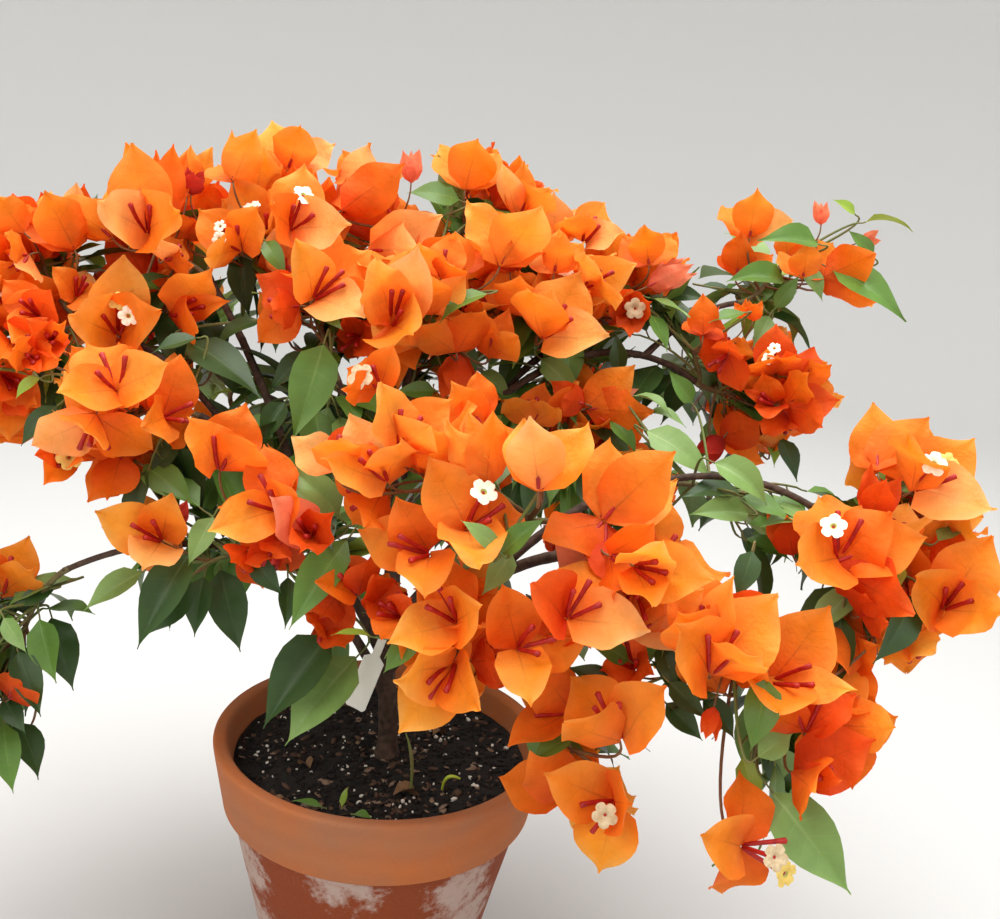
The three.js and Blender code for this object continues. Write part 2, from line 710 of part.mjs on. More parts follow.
// The loop of the strap: a flat ring square to the bough, with its front point straight ahead.
function strapLoop() {
  const { loopRadius, thickness, strapWidth, loopSides } = LABEL;
  const ring = new THREE.Shape().absarc(0, 0, loopRadius + thickness, 0, 2 * Math.PI);
  ring.holes.push(new THREE.Path().absarc(0, 0, loopRadius, 0, 2 * Math.PI));
  const settings = { depth: strapWidth, bevelEnabled: false, curveSegments: loopSides };
  const loop = new THREE.ExtrudeGeometry(ring, settings);
  return loop.translate(0, 0, -strapWidth / 2).rotateY(Math.PI / 2 + LABEL.loopSlant);
}

// The straight strap and the wider plate under it, hanging from the front of the loop.
function strapAndPlate() {
  const strap = LABEL.strapWidth / 2;
  const plate = LABEL.width / 2;
  const shoulder = -LABEL.strapLength;
  const foot = shoulder - LABEL.length;
  const outline = new THREE.Shape();
  outline.moveTo(-strap, 0);
  outline.lineTo(-strap, shoulder);
  outline.lineTo(-plate, shoulder - LABEL.shoulder);
  outline.lineTo(-plate, foot + LABEL.shoulder / 2);
  outline.lineTo(-plate + LABEL.shoulder / 2, foot);
  outline.lineTo(plate - LABEL.shoulder / 2, foot);
  outline.lineTo(plate, foot + LABEL.shoulder / 2);
  outline.lineTo(plate, shoulder - LABEL.shoulder);
  outline.lineTo(strap, shoulder);
  outline.lineTo(strap, 0);
  outline.closePath();
  const strip = new THREE.ExtrudeGeometry(outline, { depth: LABEL.thickness, bevelEnabled: false });
  return strip.rotateX(Math.PI / 2).translate(0, -LABEL.loopRadius, 0);
}

function label() {
  const pieces = [strapLoop(), strapAndPlate()].map((piece) => {
    piece.rotateX(LABEL.tilt).rotateY(LABEL.lean).rotateZ(LABEL.turn);
    return solidOf(piece.translate(...LABEL.loopCentre));
  });
  return largestBody(pieces[0].add(pieces[1]));
}

const plant = new THREE.Group();
plant.add(meshOf("pot", pot(), COLOUR.terracotta, 0.9));
plant.add(meshOf("soil", soil(), COLOUR.mix, 1));
plant.add(meshOf("label", label(), COLOUR.plastic, 0.5));

makeTrunkLimb();
Object.keys(BOUGHS).forEach(makeBoughLimb);
plant.add(meshOf("trunk", trunkSolid(), COLOUR.bark, 0.9));
const made = ["trunk"];
for (const name of Object.keys(BOUGHS)) {
  plant.add(meshOf("bough_" + name, boughSolid(name, made), COLOUR.bark, 0.9));
  made.push(name);
}

for (const { curve, radii } of Object.values(limbs)) {
  addStretches(curve, radii, SPACE.boughSteps, null);
}
const masses = prepareMasses();
for (const mass of masses) {
  addStretches(mass.stem, taper(...STEM.radii), SPACE.stemSteps, mass.name);
}
findNeighbours(masses);
for (const mass of masses) {
  const colour = mass.heads >= mass.leafy ? COLOUR.bract : COLOUR.leaf;
  plant.add(meshOf("mass_" + mass.name, massSolid(mass), colour, 0.6));
}

export default plant;
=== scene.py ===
# An orange bougainvillea bush in a terracotta pot, on a pale studio floor.
# The flowers and leaves of the side that faces the camera are read off the picture, and
# fitted to it. All others grow by one seeded rule: every mass of foliage has a stem, the stem has
# twigs, and the twigs carry leaves and flowers of three papery bracts.
# Lengths are in millimetres until a mesh is made, which turns them to metres.
import math

import bmesh
import bpy
import numpy as np
from mathutils import Matrix, Vector, noise

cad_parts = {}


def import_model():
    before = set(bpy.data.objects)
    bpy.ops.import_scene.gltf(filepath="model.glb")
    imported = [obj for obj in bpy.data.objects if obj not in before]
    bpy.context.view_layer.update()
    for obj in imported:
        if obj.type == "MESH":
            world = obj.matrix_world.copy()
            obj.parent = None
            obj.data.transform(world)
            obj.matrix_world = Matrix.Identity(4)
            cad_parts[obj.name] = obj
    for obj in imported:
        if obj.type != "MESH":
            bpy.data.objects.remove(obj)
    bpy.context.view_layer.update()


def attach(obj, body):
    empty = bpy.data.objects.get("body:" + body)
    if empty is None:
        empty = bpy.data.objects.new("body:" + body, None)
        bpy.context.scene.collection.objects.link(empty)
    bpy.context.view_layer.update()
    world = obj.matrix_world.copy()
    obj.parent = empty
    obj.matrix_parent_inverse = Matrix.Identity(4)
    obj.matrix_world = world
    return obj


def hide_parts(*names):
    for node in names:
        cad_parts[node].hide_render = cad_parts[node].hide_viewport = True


MM = 0.001
UP = np.array([0.0, 0.0, 1.0])

# The camera stands where the photographer stood. Its pitch and roll are in degrees.
CAMERA = {"pitch": 15.75, "roll": 5.29, "focal_pixels": 1178.2}
CAMERA_PLACE = np.array([55.74, -639.67, 537.60])

POT = {
    "height": 180,
    "rim_radius": 100,
    "mouth_radius": 91.7,
    "band_height": 41.6,
    "band_foot_radius": 92.9,
    "body_top_radius": 88.4,
    "foot_radius": 57,
    "wall": 8,
    "floor": 12,
    "drain_radius": 6,
    "drain_circle": 32,
    "drain_angles": (30, 150, 270),
    "sides": 160,
}
# Where lime has crept out of the pot's wall, in the pot's own millimetres.
LIME_SPOTS = (
    (-80, -22, 124),
    (-76, -28, 98),
    (-66, -44, 116),
    (-62, -38, 74),
    (-10, -87, 138),
    (58, -62, 118),
    (62, -48, 92),
    (50, -50, 66),
    (20, 76, 100),
    (-40, 62, 66),
)
SOIL = {"level": 168, "edge_level": 165, "flat_radius": 34, "radius": 87.2}
# Loose bits on the mix: how many, their sizes, their flatness and which of the mix's skins.
LOOSE_BITS = {
    "crumbs": (1500, (1.2, 4.2), (0.5, 0.9), 0),
    "bark_chips": (260, (2.5, 7.0), (0.14, 0.3), 1),
    "litter": (90, (2.5, 8.0), (0.12, 0.25), 3),
    "perlite": (170, (0.9, 2.6), (0.7, 1.0), 2),
    "coarse_perlite": (26, (2.4, 3.6), (0.7, 1.0), 2),
}
# Sprouts from the mix: foot, middle, tip, radii and skin.
SPROUTS = (
    ((22, -44), (24, -43, 188), (17, -42, 204), (0.7, 1.2, 0.3), 1),
    ((40, -38), (40, -39, 181), (50, -40, 177), (0.7, 1.2, 0.6), 2),
)
# Small leaves on the mix: place, direction, size and colour.
SEEDLING_LEAVES = (
    (-22, -66, (-0.75, -0.25, 0.35), 0.34, "mid"),
    (-8, -70, (0.6, -0.4, 0.3), 0.26, "mid"),
    (-14, -66, (0.1, 0.3, 0.8), 0.22, "young"),
)
# Dead leaves on the mix: place, turn and size.
DRY_LEAVES = ((13, -50, 0.5, 0.44), (-38, -30, 2.2, 0.3), (-46, -62, 4.0, 0.22), (30, 20, 1.0, 0.3))
TRUNK = {
    "foot": (4, -4, 167.2),
    "fork": (-3, 2, 238),
    "foot_radius": 8.2,
    "radius": 6,
    "fork_radius": 4.9,
    "flare_height": 14,
}

# The distance of the bark's rings and the points in each, and how much and how far a bough swells
# where it leaves its parent.
BARK = {"trunk": (1.6, 28), "bough": (3.2, 14), "collar": 0.3, "collar_length": 12}

# Each bough: the limb it leaves and how far along that is, its tip, how far its middle arches
# above a straight line, and its radius at both ends.
BOUGHS = {
    "front": ("trunk", 1, (72, -58, 342), 14, (3.8, 2.3)),
    "top_centre": ("trunk", 0.98, (-6, 80, 424), 4, (3.9, 2.2)),
    "left": ("trunk", 0.84, (-115, 2, 366), 22, (3.6, 2.2)),
    "right_low": ("trunk", 0.76, (190, -70, 288), 62, (3.7, 2.2)),
    "back": ("trunk", 0.64, (-8, 128, 338), 26, (3.4, 2.2)),
    "left_front": ("trunk", 0.52, (-66, -26, 298), 14, (3, 2.1)),
    "front_low": ("front", 0.4, (72, -78, 276), 16, (2.6, 2.1)),
    "right": ("right_low", 0.3, (158, 10, 350), 16, (2.6, 2)),
    "far_right": ("right", 0.86, (246, -16, 342), 14, (2, 1.8)),
    "left_drooping": ("left_front", 0.8, (-190, -6, 268), 16, (2, 1.7)),
    "far_left": ("left", 0.8, (-200, 56, 402), 14, (2.1, 1.9)),
    "left_top": ("left", 0.42, (-128, 62, 436), 12, (2.7, 2)),
    "centre_left": ("top_centre", 0.24, (-42, 26, 388), 4, (2.7, 2)),
    "top_right": ("top_centre", 0.34, (84, 98, 408), 10, (2.9, 2.1)),
    "upper_right": ("top_right", 0.5, (180, 112, 388), 30, (2.4, 2)),
    "long_upper_right": ("upper_right", 0.72, (204, 138, 440), 8, (1.9, 1.7)),
    "back_left": ("back", 0.42, (-124, 118, 356), 20, (2.5, 2)),
    "back_right": ("back", 0.5, (118, 148, 346), 20, (2.5, 2)),
}

# Each mass of foliage: its bough, the centre and half sizes of its space, and its shares of
# flowering and of leafy twigs.
MASSES = {
    "front_centre_left": ("front", (25, -85, 375), (38, 45, 42), 5, 2),
    "front_centre": ("front", (80, -95, 380), (42, 50, 42), 6, 1),
    "front_right_shoulder": ("front", (135, -90, 345), (42, 46, 42), 5, 1),
    "front_low_left": ("front_low", (33, -100, 288), (38, 40, 50), 5, 2),
    "front_low_mid": ("front_low", (88, -110, 305), (40, 40, 40), 5, 2),
    "front_low_right": ("front_low", (117, -110, 223), (42, 40, 58), 5, 2),
    "right_low": ("right_low", (180, -95, 300), (45, 45, 42), 6, 1),
    "right_low_far": ("right_low", (235, -85, 258), (44, 45, 42), 5, 2),
    "right_hanging": ("right_low", (207, -95, 188), (44, 42, 46), 3, 4),
    "right_tip_low": ("far_right", (265, -35, 318), (52, 46, 44), 5, 2),
    "right_tip": ("far_right", (290, -10, 370), (46, 45, 42), 5, 2),
    "right_leaf_spray": ("right", (200, 20, 346), (52, 45, 38), 0, 7),
    "left_front": ("left_front", (-56, -52, 305), (42, 42, 66), 4, 5),
    "left_low": ("left_front", (-115, -20, 285), (50, 50, 50), 2, 5),
    "left_hanging": ("left_drooping", (-225, -5, 208), (52, 42, 72), 2, 7),
    "left_shoulder": ("left", (-155, -15, 375), (50, 50, 52), 7, 1),
    "far_left": ("far_left", (-235, 45, 385), (50, 50, 55), 6, 2),
    "far_left_top": ("far_left", (-245, 85, 440), (50, 50, 45), 5, 1),
    "left_top": ("left_top", (-170, 65, 455), (50, 50, 62), 7, 1),
    "crown_top_left": ("left_top", (-100, 80, 480), (55, 55, 48), 7, 1),
    "crown_mid_left": ("centre_left", (-65, 40, 435), (45, 45, 36), 5, 1),
    "centre_leaves": ("centre_left", (-62, 34, 368), (60, 50, 36), 1, 6),
    "crown_centre": ("top_centre", (0, 50, 440), (42, 45, 52), 6, 1),
    "crown_top_mid": ("top_centre", (-30, 120, 485), (42, 45, 42), 5, 1),
    "crown_top_right": ("top_centre", (35, 165, 495), (56, 50, 42), 5, 2),
    "crown_right": ("top_right", (75, 85, 445), (46, 50, 52), 6, 1),
    "crown_right_far": ("top_right", (135, 125, 455), (46, 50, 50), 6, 1),
    "centre_back": ("top_right", (92, 62, 360), (62, 48, 38), 3, 3),
    "right_upper_leaves": ("upper_right", (170, 105, 418), (52, 48, 42), 2, 5),
    "right_mid": ("upper_right", (230, 112, 385), (50, 50, 50), 6, 1),
    "back_far_right": ("upper_right", (205, 190, 395), (50, 46, 52), 6, 2),
    "upper_right_spray": ("long_upper_right", (240, 160, 475), (65, 50, 50), 4, 4),
    "back_centre": ("back", (-15, 185, 405), (55, 42, 55), 6, 2),
    "back_low_centre": ("back", (5, 170, 300), (55, 42, 55), 5, 3),
    "back_left": ("back_left", (-165, 140, 395), (52, 48, 55), 6, 2),
    "back_low_left": ("back_left", (-115, 140, 300), (50, 48, 52), 4, 3),
    "back_right": ("back_right", (105, 195, 400), (52, 44, 52), 6, 2),
    "back_low_right": ("back_right", (130, 150, 285), (52, 48, 55), 5, 3),
}
CROWN_CENTRE = np.array([10.0, 35.0, 300.0])

# Stems start side by side, a little sunk in their bough's tip. Twigs leave the outer part of a stem.
STEM = {"radii": (1.9, 1.3), "apart": 0.6, "sunk": 4, "reach": 0.25, "bend": 0.4, "branching": 0.55}
TWIG = {"radii": (1.0, 0.65), "entry": 0.4, "leaf_entry": 0.18, "longest_entry": 20}

# The growing rule: how many directions each mass tries, and where in its space flowers may stand.
GROWTH = {
    "directions": 34,
    "shares": (0.8, 0.68, 0.56, 0.44, 0.32, 0.2),
    "spacing": 20.0,
    "limb_gap": 8.0,
    "head_middle": 15.0,
    "outward": 0.55,
    "crown_outward": 0.25,
    "upward": 0.6,
    "wobble": 0.7,
    "tries": 6,
    "open_share": 0.12,
    "box": ((-304, -158, 120), (340, 245, 536)),
    "seed": 1009,
}

BRACT = {
    "length": 41,
    "half_width": 16.8,
    "widest": 0.43,
    "point": 1.18,
    "rows": 12,
    "columns": 8,
    "most_roll": 0.8,
}
LEAF = {"length": 52, "half_width": 12.2, "widest": 0.38, "rows": 10, "columns": 6, "petiole": 8}
TUBE = {"length": 21, "radius": 1.25, "mouth": 1.6}
FLORET = {"radius": 6.6, "lobes": 5, "to_camera": 0.9}
# Which of the floret colours its throat, its middle and its lobes take.
FLORET_FINISHES = {"white": (2, 0, 0), "yellow": (2, 1, 1), "small": (2, 0, 0), "aged": (3, 3, 3)}

# Shares of each colour among the flowers of a mass.
BRACT_TINTS = {
    "bright": 0.4,
    "amber": 0.26,
    "deep": 0.2,
    "red": 0.09,
    "apricot": 0.05,
    "salmon": 0.0,
    "crimson": 0.0,
}
LEAF_TINTS = {"mid": 0.5, "dark": 0.28, "pale": 0.14, "young": 0.08}

# Flowers of the side that faces the camera, by the mass that carries them, as read off the picture.
# Each row has the pixel of the flower's foot; the pixels of its three bracts' tips, None
# where a tip can't be seen; how squarely it faces the camera, from 0 to 1, how far its bracts
# open, in radians, and its size; how many millimetres it stands behind its mass's front; its
# bracts' colours; and its open florets, if any.
# The bracts' colours are partly painted light and shade: deep and red ones are partly painted shade where a
# bract lies in the crown's shade, and apricot ones are partly a painted highlight where light grazes them.
SEEN_FLOWERS = {
    "front_centre_left": (
        ((467, 531), ((420, 447), (479, 572), (524, 514)),
            (0.75, 1, 1), -6, "bright amber bright", "white"),
        ((485, 489), ((467, 407), (442, 414), (494, 406)), (0.2, 0.5, 1.1), 8, "amber amber bright"),
        ((482, 425), ((477, 375), (439, 401), None), (0, 0.45, 0.85), 24, "deep deep bright"),
        ((398, 447), ((379, 383), (431, 425), None), (0.25, 0.55, 1), 4, "amber bright bright"),
        ((387, 482), ((350, 416), (323, 460), (402, 441)), (0.4, 0.85, 1.05), 0, "apricot amber bright"),
        ((384, 489), ((368, 523), None, (350, 527)), (0.3, 0.8, 0.95), 14, "deep"),
        ((380, 389), ((347, 392), None, (350, 371)), (0.6, 0.9, 0.85), 26, "deep", "aged"),
        ((336, 472), (None, (293, 438), (338, 443)), (0.2, 0.7, 1.05), 0, "red apricot bright"),
        ((430, 554), ((394, 493), (362, 530), (425, 594)), (0.3, 0.95, 1), -2, "deep bright bright"),
    ),
    "front_centre": (
        ((539, 492), ((523, 417), None, (588, 424)), (0, 0.55, 1.1), 4, "amber apricot amber"),
    ),
    "crown_centre": (
        ((458, 353), ((456, 397), None, None), (0.1, 0.28, 0.8), 0, "red"),
        ((500, 266), (None, (465, 198), (540, 210)), (0.1, 0.75, 1.15), 0, "bright amber amber"),
        ((508, 313), (None, (496, 266), (520, 278)), (0.2, 0.55, 1), 2, "deep bright bright"),
        ((490, 358), ((485, 317), (517, 338), (510, 307)), (0.3, 0.55, 1), -10, "deep bright deep"),
        ((460, 276), ((455, 234), (473, 253), (440, 246)), (0.1, 0.7, 0.9), 8, "bright deep deep"),
        ((456, 352), ((441, 314), (415, 326), (484, 312)), (0.2, 0.85, 1.05), -12, "bright bright deep"),
        ((392, 324), ((376, 258), (414, 336), (418, 249)), (0.4, 0.75, 1.15), -4, "amber bright apricot"),
        ((441, 278), ((456, 263), (455, 235), (419, 246)), (0.2, 0.8, 0.95), 6, "deep bright bright"),
        ((432, 314), ((425, 278), (472, 268), (442, 267)), (0.3, 0.7, 1), 0, "bright amber bright"),
        ((393, 326), ((398, 389), (415, 368), (376, 371)), (0.3, 0.7, 1.1), 10, "deep"),
        ((373, 317), ((361, 294), (387, 323), (380, 290)), (0.3, 0.8, 0.8), 12, "red"),
    ),
    "front_low_left": (
        ((457, 622), ((385, 643), (486, 605), (445, 549)), (0.5, 0.9, 1.05), 0, "amber bright bright"),
        ((454, 662), ((390, 682), (397, 735), (477, 714)), (0.7, 1, 1.15), -8, "amber amber bright"),
        ((472, 662), ((498, 616), (492, 661), None), (0.3, 0.7, 0.8), 22, "red"),
        ((358, 595), ((347, 554), None, (370, 556)), (0.4, 0.7, 0.85), 14, "red deep red"),
        ((378, 601), ((398, 586), (375, 575), (383, 631)), (0.5, 0.9, 1), 12, "deep red red"),
        ((402, 617), ((383, 639), (412, 598), None), (0.3, 0.8, 0.9), 16, "deep red red"),
    ),
    "front_low_mid": (
        ((517, 648), ((503, 585), (531, 702), (589, 637)), (0.6, 0.95, 1.05), -4, "deep amber bright"),
        ((567, 619), ((648, 630), (597, 561), (529, 584)), (0.7, 1, 1.15), -4, "apricot bright red"),
    ),
    "front_low_right": (
        ((571, 711), ((524, 668), (510, 746), None), (0.15, 0.8, 1), 4, "bright deep deep", "aged"),
        ((620, 741), ((562, 727), (671, 682), (571, 677)), (0.55, 0.9, 1.1), -10, "bright"),
        ((616, 801), ((641, 804), (544, 772), (597, 881)), (0.8, 1.15, 1.2), -6, "deep bright amber", "aged"),
        ((568, 799), ((505, 779), (536, 758), None), (-0.2, 0.8, 1.05), 22, "deep"),
    ),
    "right_low": (
        ((634, 670), ((654, 675), (635, 638), (600, 671)), (0.3, 0.8, 0.7), 16, "red"),
        ((669, 611), ((707, 566), None, (642, 640)), (0.3, 0.8, 1), 14, "bright deep deep"),
        ((711, 673), ((785, 587), (672, 620), (767, 652)), (0.35, 0.75, 1.2), -4, "amber bright bright"),
        ((706, 658), ((730, 580), (698, 554), (677, 612)), (0.3, 0.7, 1.05), 12, "amber bright bright"),
        ((740, 846), ((696, 833), (715, 891), (728, 761)),
            (0.9, 1.3, 1.1), 0, "bright deep deep", "aged", "yellow"),
        ((714, 707), ((706, 737), None, None), (0.2, 0.28, 0.4), -4, "red"),
    ),
    "front_right_shoulder": (
        ((602, 521), ((675, 482), (611, 433), (672, 455)), (-0.1, 0.6, 1.25), -4, "amber bright bright"),
        ((605, 521), ((541, 537), (570, 572), None), (0.45, 0.9, 0.95), -2, "deep salmon red"),
        ((609, 556), ((613, 596), (651, 582), None), (0.4, 0.8, 0.9), 8, "deep red deep"),
        ((635, 566), ((655, 609), (715, 581), (662, 542)), (0.55, 0.95, 1.15), -4, "bright amber amber"),
    ),
    "right_low_far": (
        ((772, 682), ((857, 690), (836, 598), (778, 713)), (0.5, 0.9, 1.15), -6, "amber bright bright"),
        ((864, 637), ((822, 598), None, (833, 658)), (-0.3, 0.9, 1), 12, "deep"),
        ((841, 666), ((864, 658), (877, 646), None), (0.1, 0.7, 0.9), 18, "deep"),
        ((805, 733), ((766, 716), (861, 692), (813, 687)), (0.15, 0.8, 1.05), 2, "deep red red"),
        ((794, 773), ((898, 730), (812, 793), (849, 780)), (0.3, 0.8, 0.95), 4, "red deep red"),
        ((841, 725), ((900, 728), None, (864, 715)), (0.1, 0.7, 1), 12, "bright deep deep"),
    ),
    "right_tip": (
        ((878, 473), ((873, 402), (928, 418), (846, 486)), (-0.1, 0.75, 1.1), 6, "bright"),
        ((870, 520), (None, None, (886, 480)), (0.25, 0.26, 0.8), -14, "red"),
        ((913, 490), ((976, 437), (906, 440), (998, 511)),
            (0.3, 0.9, 1.15), 0, "bright bright apricot", "yellow", "white"),
        ((943, 609), ((1006, 616), (991, 538), (918, 576)), (0.45, 0.85, 1.15), -6, "bright"),
        ((935, 572), ((973, 533), None, None), (0, 0.35, 0.85), 8, "deep"),
    ),
    "right_tip_low": (
        ((838, 559), ((794, 567), (940, 534), (819, 493)), (0.5, 0.95, 1.15), -6, "bright", "white"),
        ((793, 556), (None, (787, 516), None), (0.1, 0.3, 0.75), 6, "red"),
        ((830, 566), ((894, 559), None, (909, 611)), (0.25, 0.8, 1.05), 6, "deep deep red"),
        ((906, 635), ((939, 654), (886, 660), None), (0.3, 0.9, 1), 0, "amber bright bright"),
        ((860, 616), ((863, 596), (888, 624), None), (0.3, 0.8, 0.75), 6, "red"),
    ),
    "upper_right_spray": (
        ((749, 239), ((795, 220), (724, 206), (757, 189)), (-0.1, 0.75, 0.95), 0, "apricot bright bright"),
        ((736, 277), (None, (772, 254), (734, 244)), (0, 0.7, 0.85), 4, "deep"),
        ((803, 279), ((822, 262), (778, 252), (809, 241)), (0, 0.7, 0.85), 0, "deep bright bright"),
        ((824, 277), ((881, 302), (834, 241), (879, 252)), (0.1, 0.8, 0.95), -2, "deep bright deep"),
        ((821, 225), ((821, 203), None, None), (0, 0.28, 0.38), 0, "salmon"),
        ((861, 242), (None, (876, 237), None), (0, 0.28, 0.38), 0, "salmon"),
    ),
    "right_upper_leaves": (
        ((753, 321), (None, (755, 304), None), (0.2, 0.3, 0.45), 0, "deep"),
        ((744, 319), (None, (741, 305), None), (0.2, 0.3, 0.4), 0, "deep"),
        ((703, 336), ((703, 292), (717, 327), (690, 315)), (0.1, 0.7, 0.85), 0, "deep red deep"),
        ((728, 354), ((699, 354), (742, 390), (730, 340)), (0.2, 0.8, 0.9), 0, "red"),
    ),
    "right_mid": (
        ((774, 377), ((776, 325), (753, 361), (797, 354)),
            (0.2, 0.7, 1), 0, "red deep deep", "small", "small"),
        ((797, 384), ((830, 365), (814, 348), (786, 354)), (0.3, 0.8, 0.9), 2, "deep red red"),
        ((786, 405), ((805, 373), (822, 427), (840, 400)), (0.3, 0.9, 1), -2, "deep red red"),
        ((774, 405), ((767, 417), (763, 373), (745, 390)), (0.4, 0.9, 0.9), 0, "red deep red"),
        ((782, 411), (None, (765, 436), (797, 432)), (0.2, 0.8, 0.85), 4, "red red deep"),
        ((719, 440), ((762, 421), (762, 463), (731, 403)), (-0.1, 0.8, 0.95), -10, "red deep deep"),
        ((723, 438), (None, (707, 453), None), (0.2, 0.3, 0.55), -16, "crimson"),
    ),
    "crown_top_right": (
        ((465, 190), ((500, 152), (438, 143), (480, 133)), (-0.1, 0.8, 1.05), -6, "bright amber bright"),
        ((518, 218), ((525, 153), (503, 166), (548, 190)), (0.3, 0.6, 1), -6, "bright apricot bright"),
    ),
    "crown_right": (
        ((510, 272), (None, (511, 242), None), (0.3, 0.32, 0.7), -6, "red"),
        ((554, 274), ((583, 243), (540, 251), (563, 234)), (0.2, 0.75, 0.95), 2, "bright amber bright"),
        ((584, 287), ((622, 299), (638, 263), (586, 251)), (0.2, 0.8, 1.1), -6, "bright amber amber"),
        ((543, 339), ((526, 289), (612, 336), (583, 269)), (0.5, 0.85, 1.2), -12, "bright apricot amber"),
    ),
    "crown_right_far": (
        ((556, 243), ((538, 213), (554, 191), (588, 208)), (0.1, 0.7, 0.95), 14, "amber apricot apricot"),
        ((583, 243), ((629, 234), (603, 205), (563, 213)), (0.45, 0.85, 1), -4, "apricot bright bright"),
        ((649, 266), ((624, 239), (644, 223), (672, 233)), (0.1, 0.75, 0.95), 2, "deep bright bright"),
        ((632, 310), ((649, 303), (609, 295), (631, 333)), (0.75, 1, 0.75), -4, "red", "aged"),
        ((647, 287), (None, (700, 261), None), (0, 0.22, 0.66), 0, "salmon"),
    ),
    "centre_back": (
        ((531, 425), ((544, 384), (507, 401), (559, 408)), (0.2, 0.8, 0.95), 0, "deep bright bright"),
        ((585, 409), ((652, 412), (635, 389), None), (0, 0.4, 1.05), -6, "deep salmon bright"),
        ((585, 404), (None, None, (562, 398)), (0, 0.3, 0.7), -4, "red"),
    ),
    "crown_top_left": (
        ((290, 231), ((306, 160), (265, 203), (354, 226)),
            (0.5, 0.85, 1.2), -8, "amber deep apricot", "white"),
        ((288, 170), ((273, 123), (300, 127), (336, 143)), (0.1, 0.6, 1), 10, "amber bright apricot"),
        ((241, 251), ((200, 210), (208, 258), (258, 203)),
            (0.4, 0.8, 1.15), -6, "bright amber bright", "small", "small"),
        ((233, 181), ((218, 165), (232, 130), (255, 133)), (0.1, 0.6, 0.95), 6, "bright amber amber"),
        ((191, 195), (None, (194, 174), None), (0.2, 0.28, 0.55), -6, "crimson"),
        ((188, 239), ((219, 227), (204, 206), (165, 218)), (0.3, 0.8, 0.95), 14, "deep red deep"),
    ),
    "crown_top_mid": (
        ((341, 211), ((367, 142), (406, 163), (371, 249)), (-0.1, 0.85, 1.1), 0, "apricot deep red"),
        ((411, 183), ((411, 152), None, None), (0, 0.28, 0.5), -4, "salmon"),
        ((369, 250), (None, (448, 212), (415, 250)), (0.05, 0.35, 1.05), -14, "deep apricot apricot"),
    ),
    "crown_mid_left": (
        ((314, 299), ((362, 317), (366, 253), (295, 239)), (0.45, 0.8, 1.15), 0, "apricot bright amber"),
        ((300, 306), ((271, 311), (261, 276), None), (0.4, 0.8, 0.95), 6, "red red deep"),
        ((359, 336), ((376, 351), (344, 314), (341, 354)), (0.7, 1, 0.8), 6, "red"),
    ),
    "left_top": (
        ((148, 233), ((92, 198), (182, 212), (132, 143)), (0.45, 0.8, 1.15), -2, "apricot bright bright"),
        ((165, 218), (None, None, (173, 148)), (0.1, 0.25, 1), 6, "deep"),
        ((187, 197), ((179, 160), (191, 143), (213, 146)), (0.2, 0.6, 0.95), 12, "bright amber amber"),
        ((118, 334), ((159, 311), (127, 226), (61, 313)),
            (0.72, 0.95, 1.3), -14, "bright amber amber", "white", "yellow"),
        ((170, 314), ((227, 301), (213, 268), (197, 334)), (0.8, 1, 1.3), -30, "deep bright deep"),
        ((164, 261), ((181, 242), (159, 241), (190, 267)), (0.2, 0.8, 0.85), 6, "bright apricot deep"),
    ),
    "far_left_top": (
        ((75, 250), ((75, 180), (26, 210), (44, 190)), (-0.1, 0.6, 1.05), -2, "apricot deep bright"),
        ((24, 233), ((15, 210), None, (0, 198)), (0.1, 0.7, 0.95), 4, "bright"),
        ((29, 255), ((34, 281), (5, 235), (9, 273)), (0.5, 0.9, 0.95), -4, "apricot bright bright"),
    ),
    "far_left": (
        ((77, 298), ((98, 302), (86, 272), (52, 268)), (0.5, 0.95, 1), -4, "bright apricot bright"),
        ((40, 317), ((3, 279), (14, 340), (51, 288)), (0.6, 1, 1.1), -4, "deep bright red"),
        ((11, 340), ((58, 351), (46, 320), (0, 358)), (0.6, 0.95, 1), -2, "red red deep"),
        ((9, 392), ((26, 419), (9, 442), (37, 406)), (0.5, 0.95, 1), -4, "red bright deep"),
        ((3, 375), (None, (31, 371), (0, 400)), (0.4, 0.9, 0.95), 2, "deep red red"),
    ),
    "left_shoulder": (
        ((51, 341), ((58, 358), (63, 323), (31, 323)), (0.5, 0.9, 0.9), 10, "red deep red"),
        ((118, 393), ((174, 364), (86, 343), (57, 395)), (0.45, 0.95, 1.15), -6, "amber bright bright"),
        ((96, 415), ((151, 448), (86, 427), (34, 444)), (0.55, 0.95, 1.1), -4, "bright bright apricot"),
        ((122, 452), ((149, 465), (107, 501), (83, 506)), (0, 0.6, 1.1), 4, "red deep deep"),
        ((72, 449), ((83, 458), (40, 455), (43, 486)), (0.3, 0.8, 0.95), 8, "deep red deep", "yellow"),
        ((162, 418), ((185, 433), (182, 344), (144, 427)), (0.35, 0.9, 1.1), 4, "deep deep bright"),
        ((28, 355), ((38, 371), (60, 360), (9, 348)), (0.4, 0.9, 0.95), 8, "red deep deep"),
    ),
    "left_front": (
        ((220, 471), ((187, 413), (255, 448), (247, 401)), (0.3, 0.7, 1.05), 0, "bright deep deep"),
        ((279, 511), ((264, 445), (213, 529), (301, 496)), (0.3, 0.85, 1.15), -4, "deep amber deep"),
        ((311, 536), ((273, 498), (301, 550), (332, 513)), (0.25, 0.7, 1.05), -8, "salmon red red"),
        ((251, 547), ((261, 563), (230, 563), None), (0.3, 0.7, 0.85), 12, "red"),
        ((283, 541), (None, (291, 575), (272, 556)), (0.3, 0.5, 0.85), 8, "red"),
        ((338, 595), ((320, 618), (303, 611), None), (0.3, 0.6, 0.8), 2, "red"),
        ((328, 620), ((328, 647), (344, 643), (311, 625)), (0.4, 0.9, 0.65), 0, "red"),
    ),
    "left_low": (
        ((161, 541), ((99, 513), (142, 570), (171, 493)), (0.6, 1, 1.05), -4, "amber apricot bright"),
        ((174, 529), (None, None, (174, 508)), (0.2, 0.35, 0.5), -2, "crimson"),
    ),
    "left_hanging": (
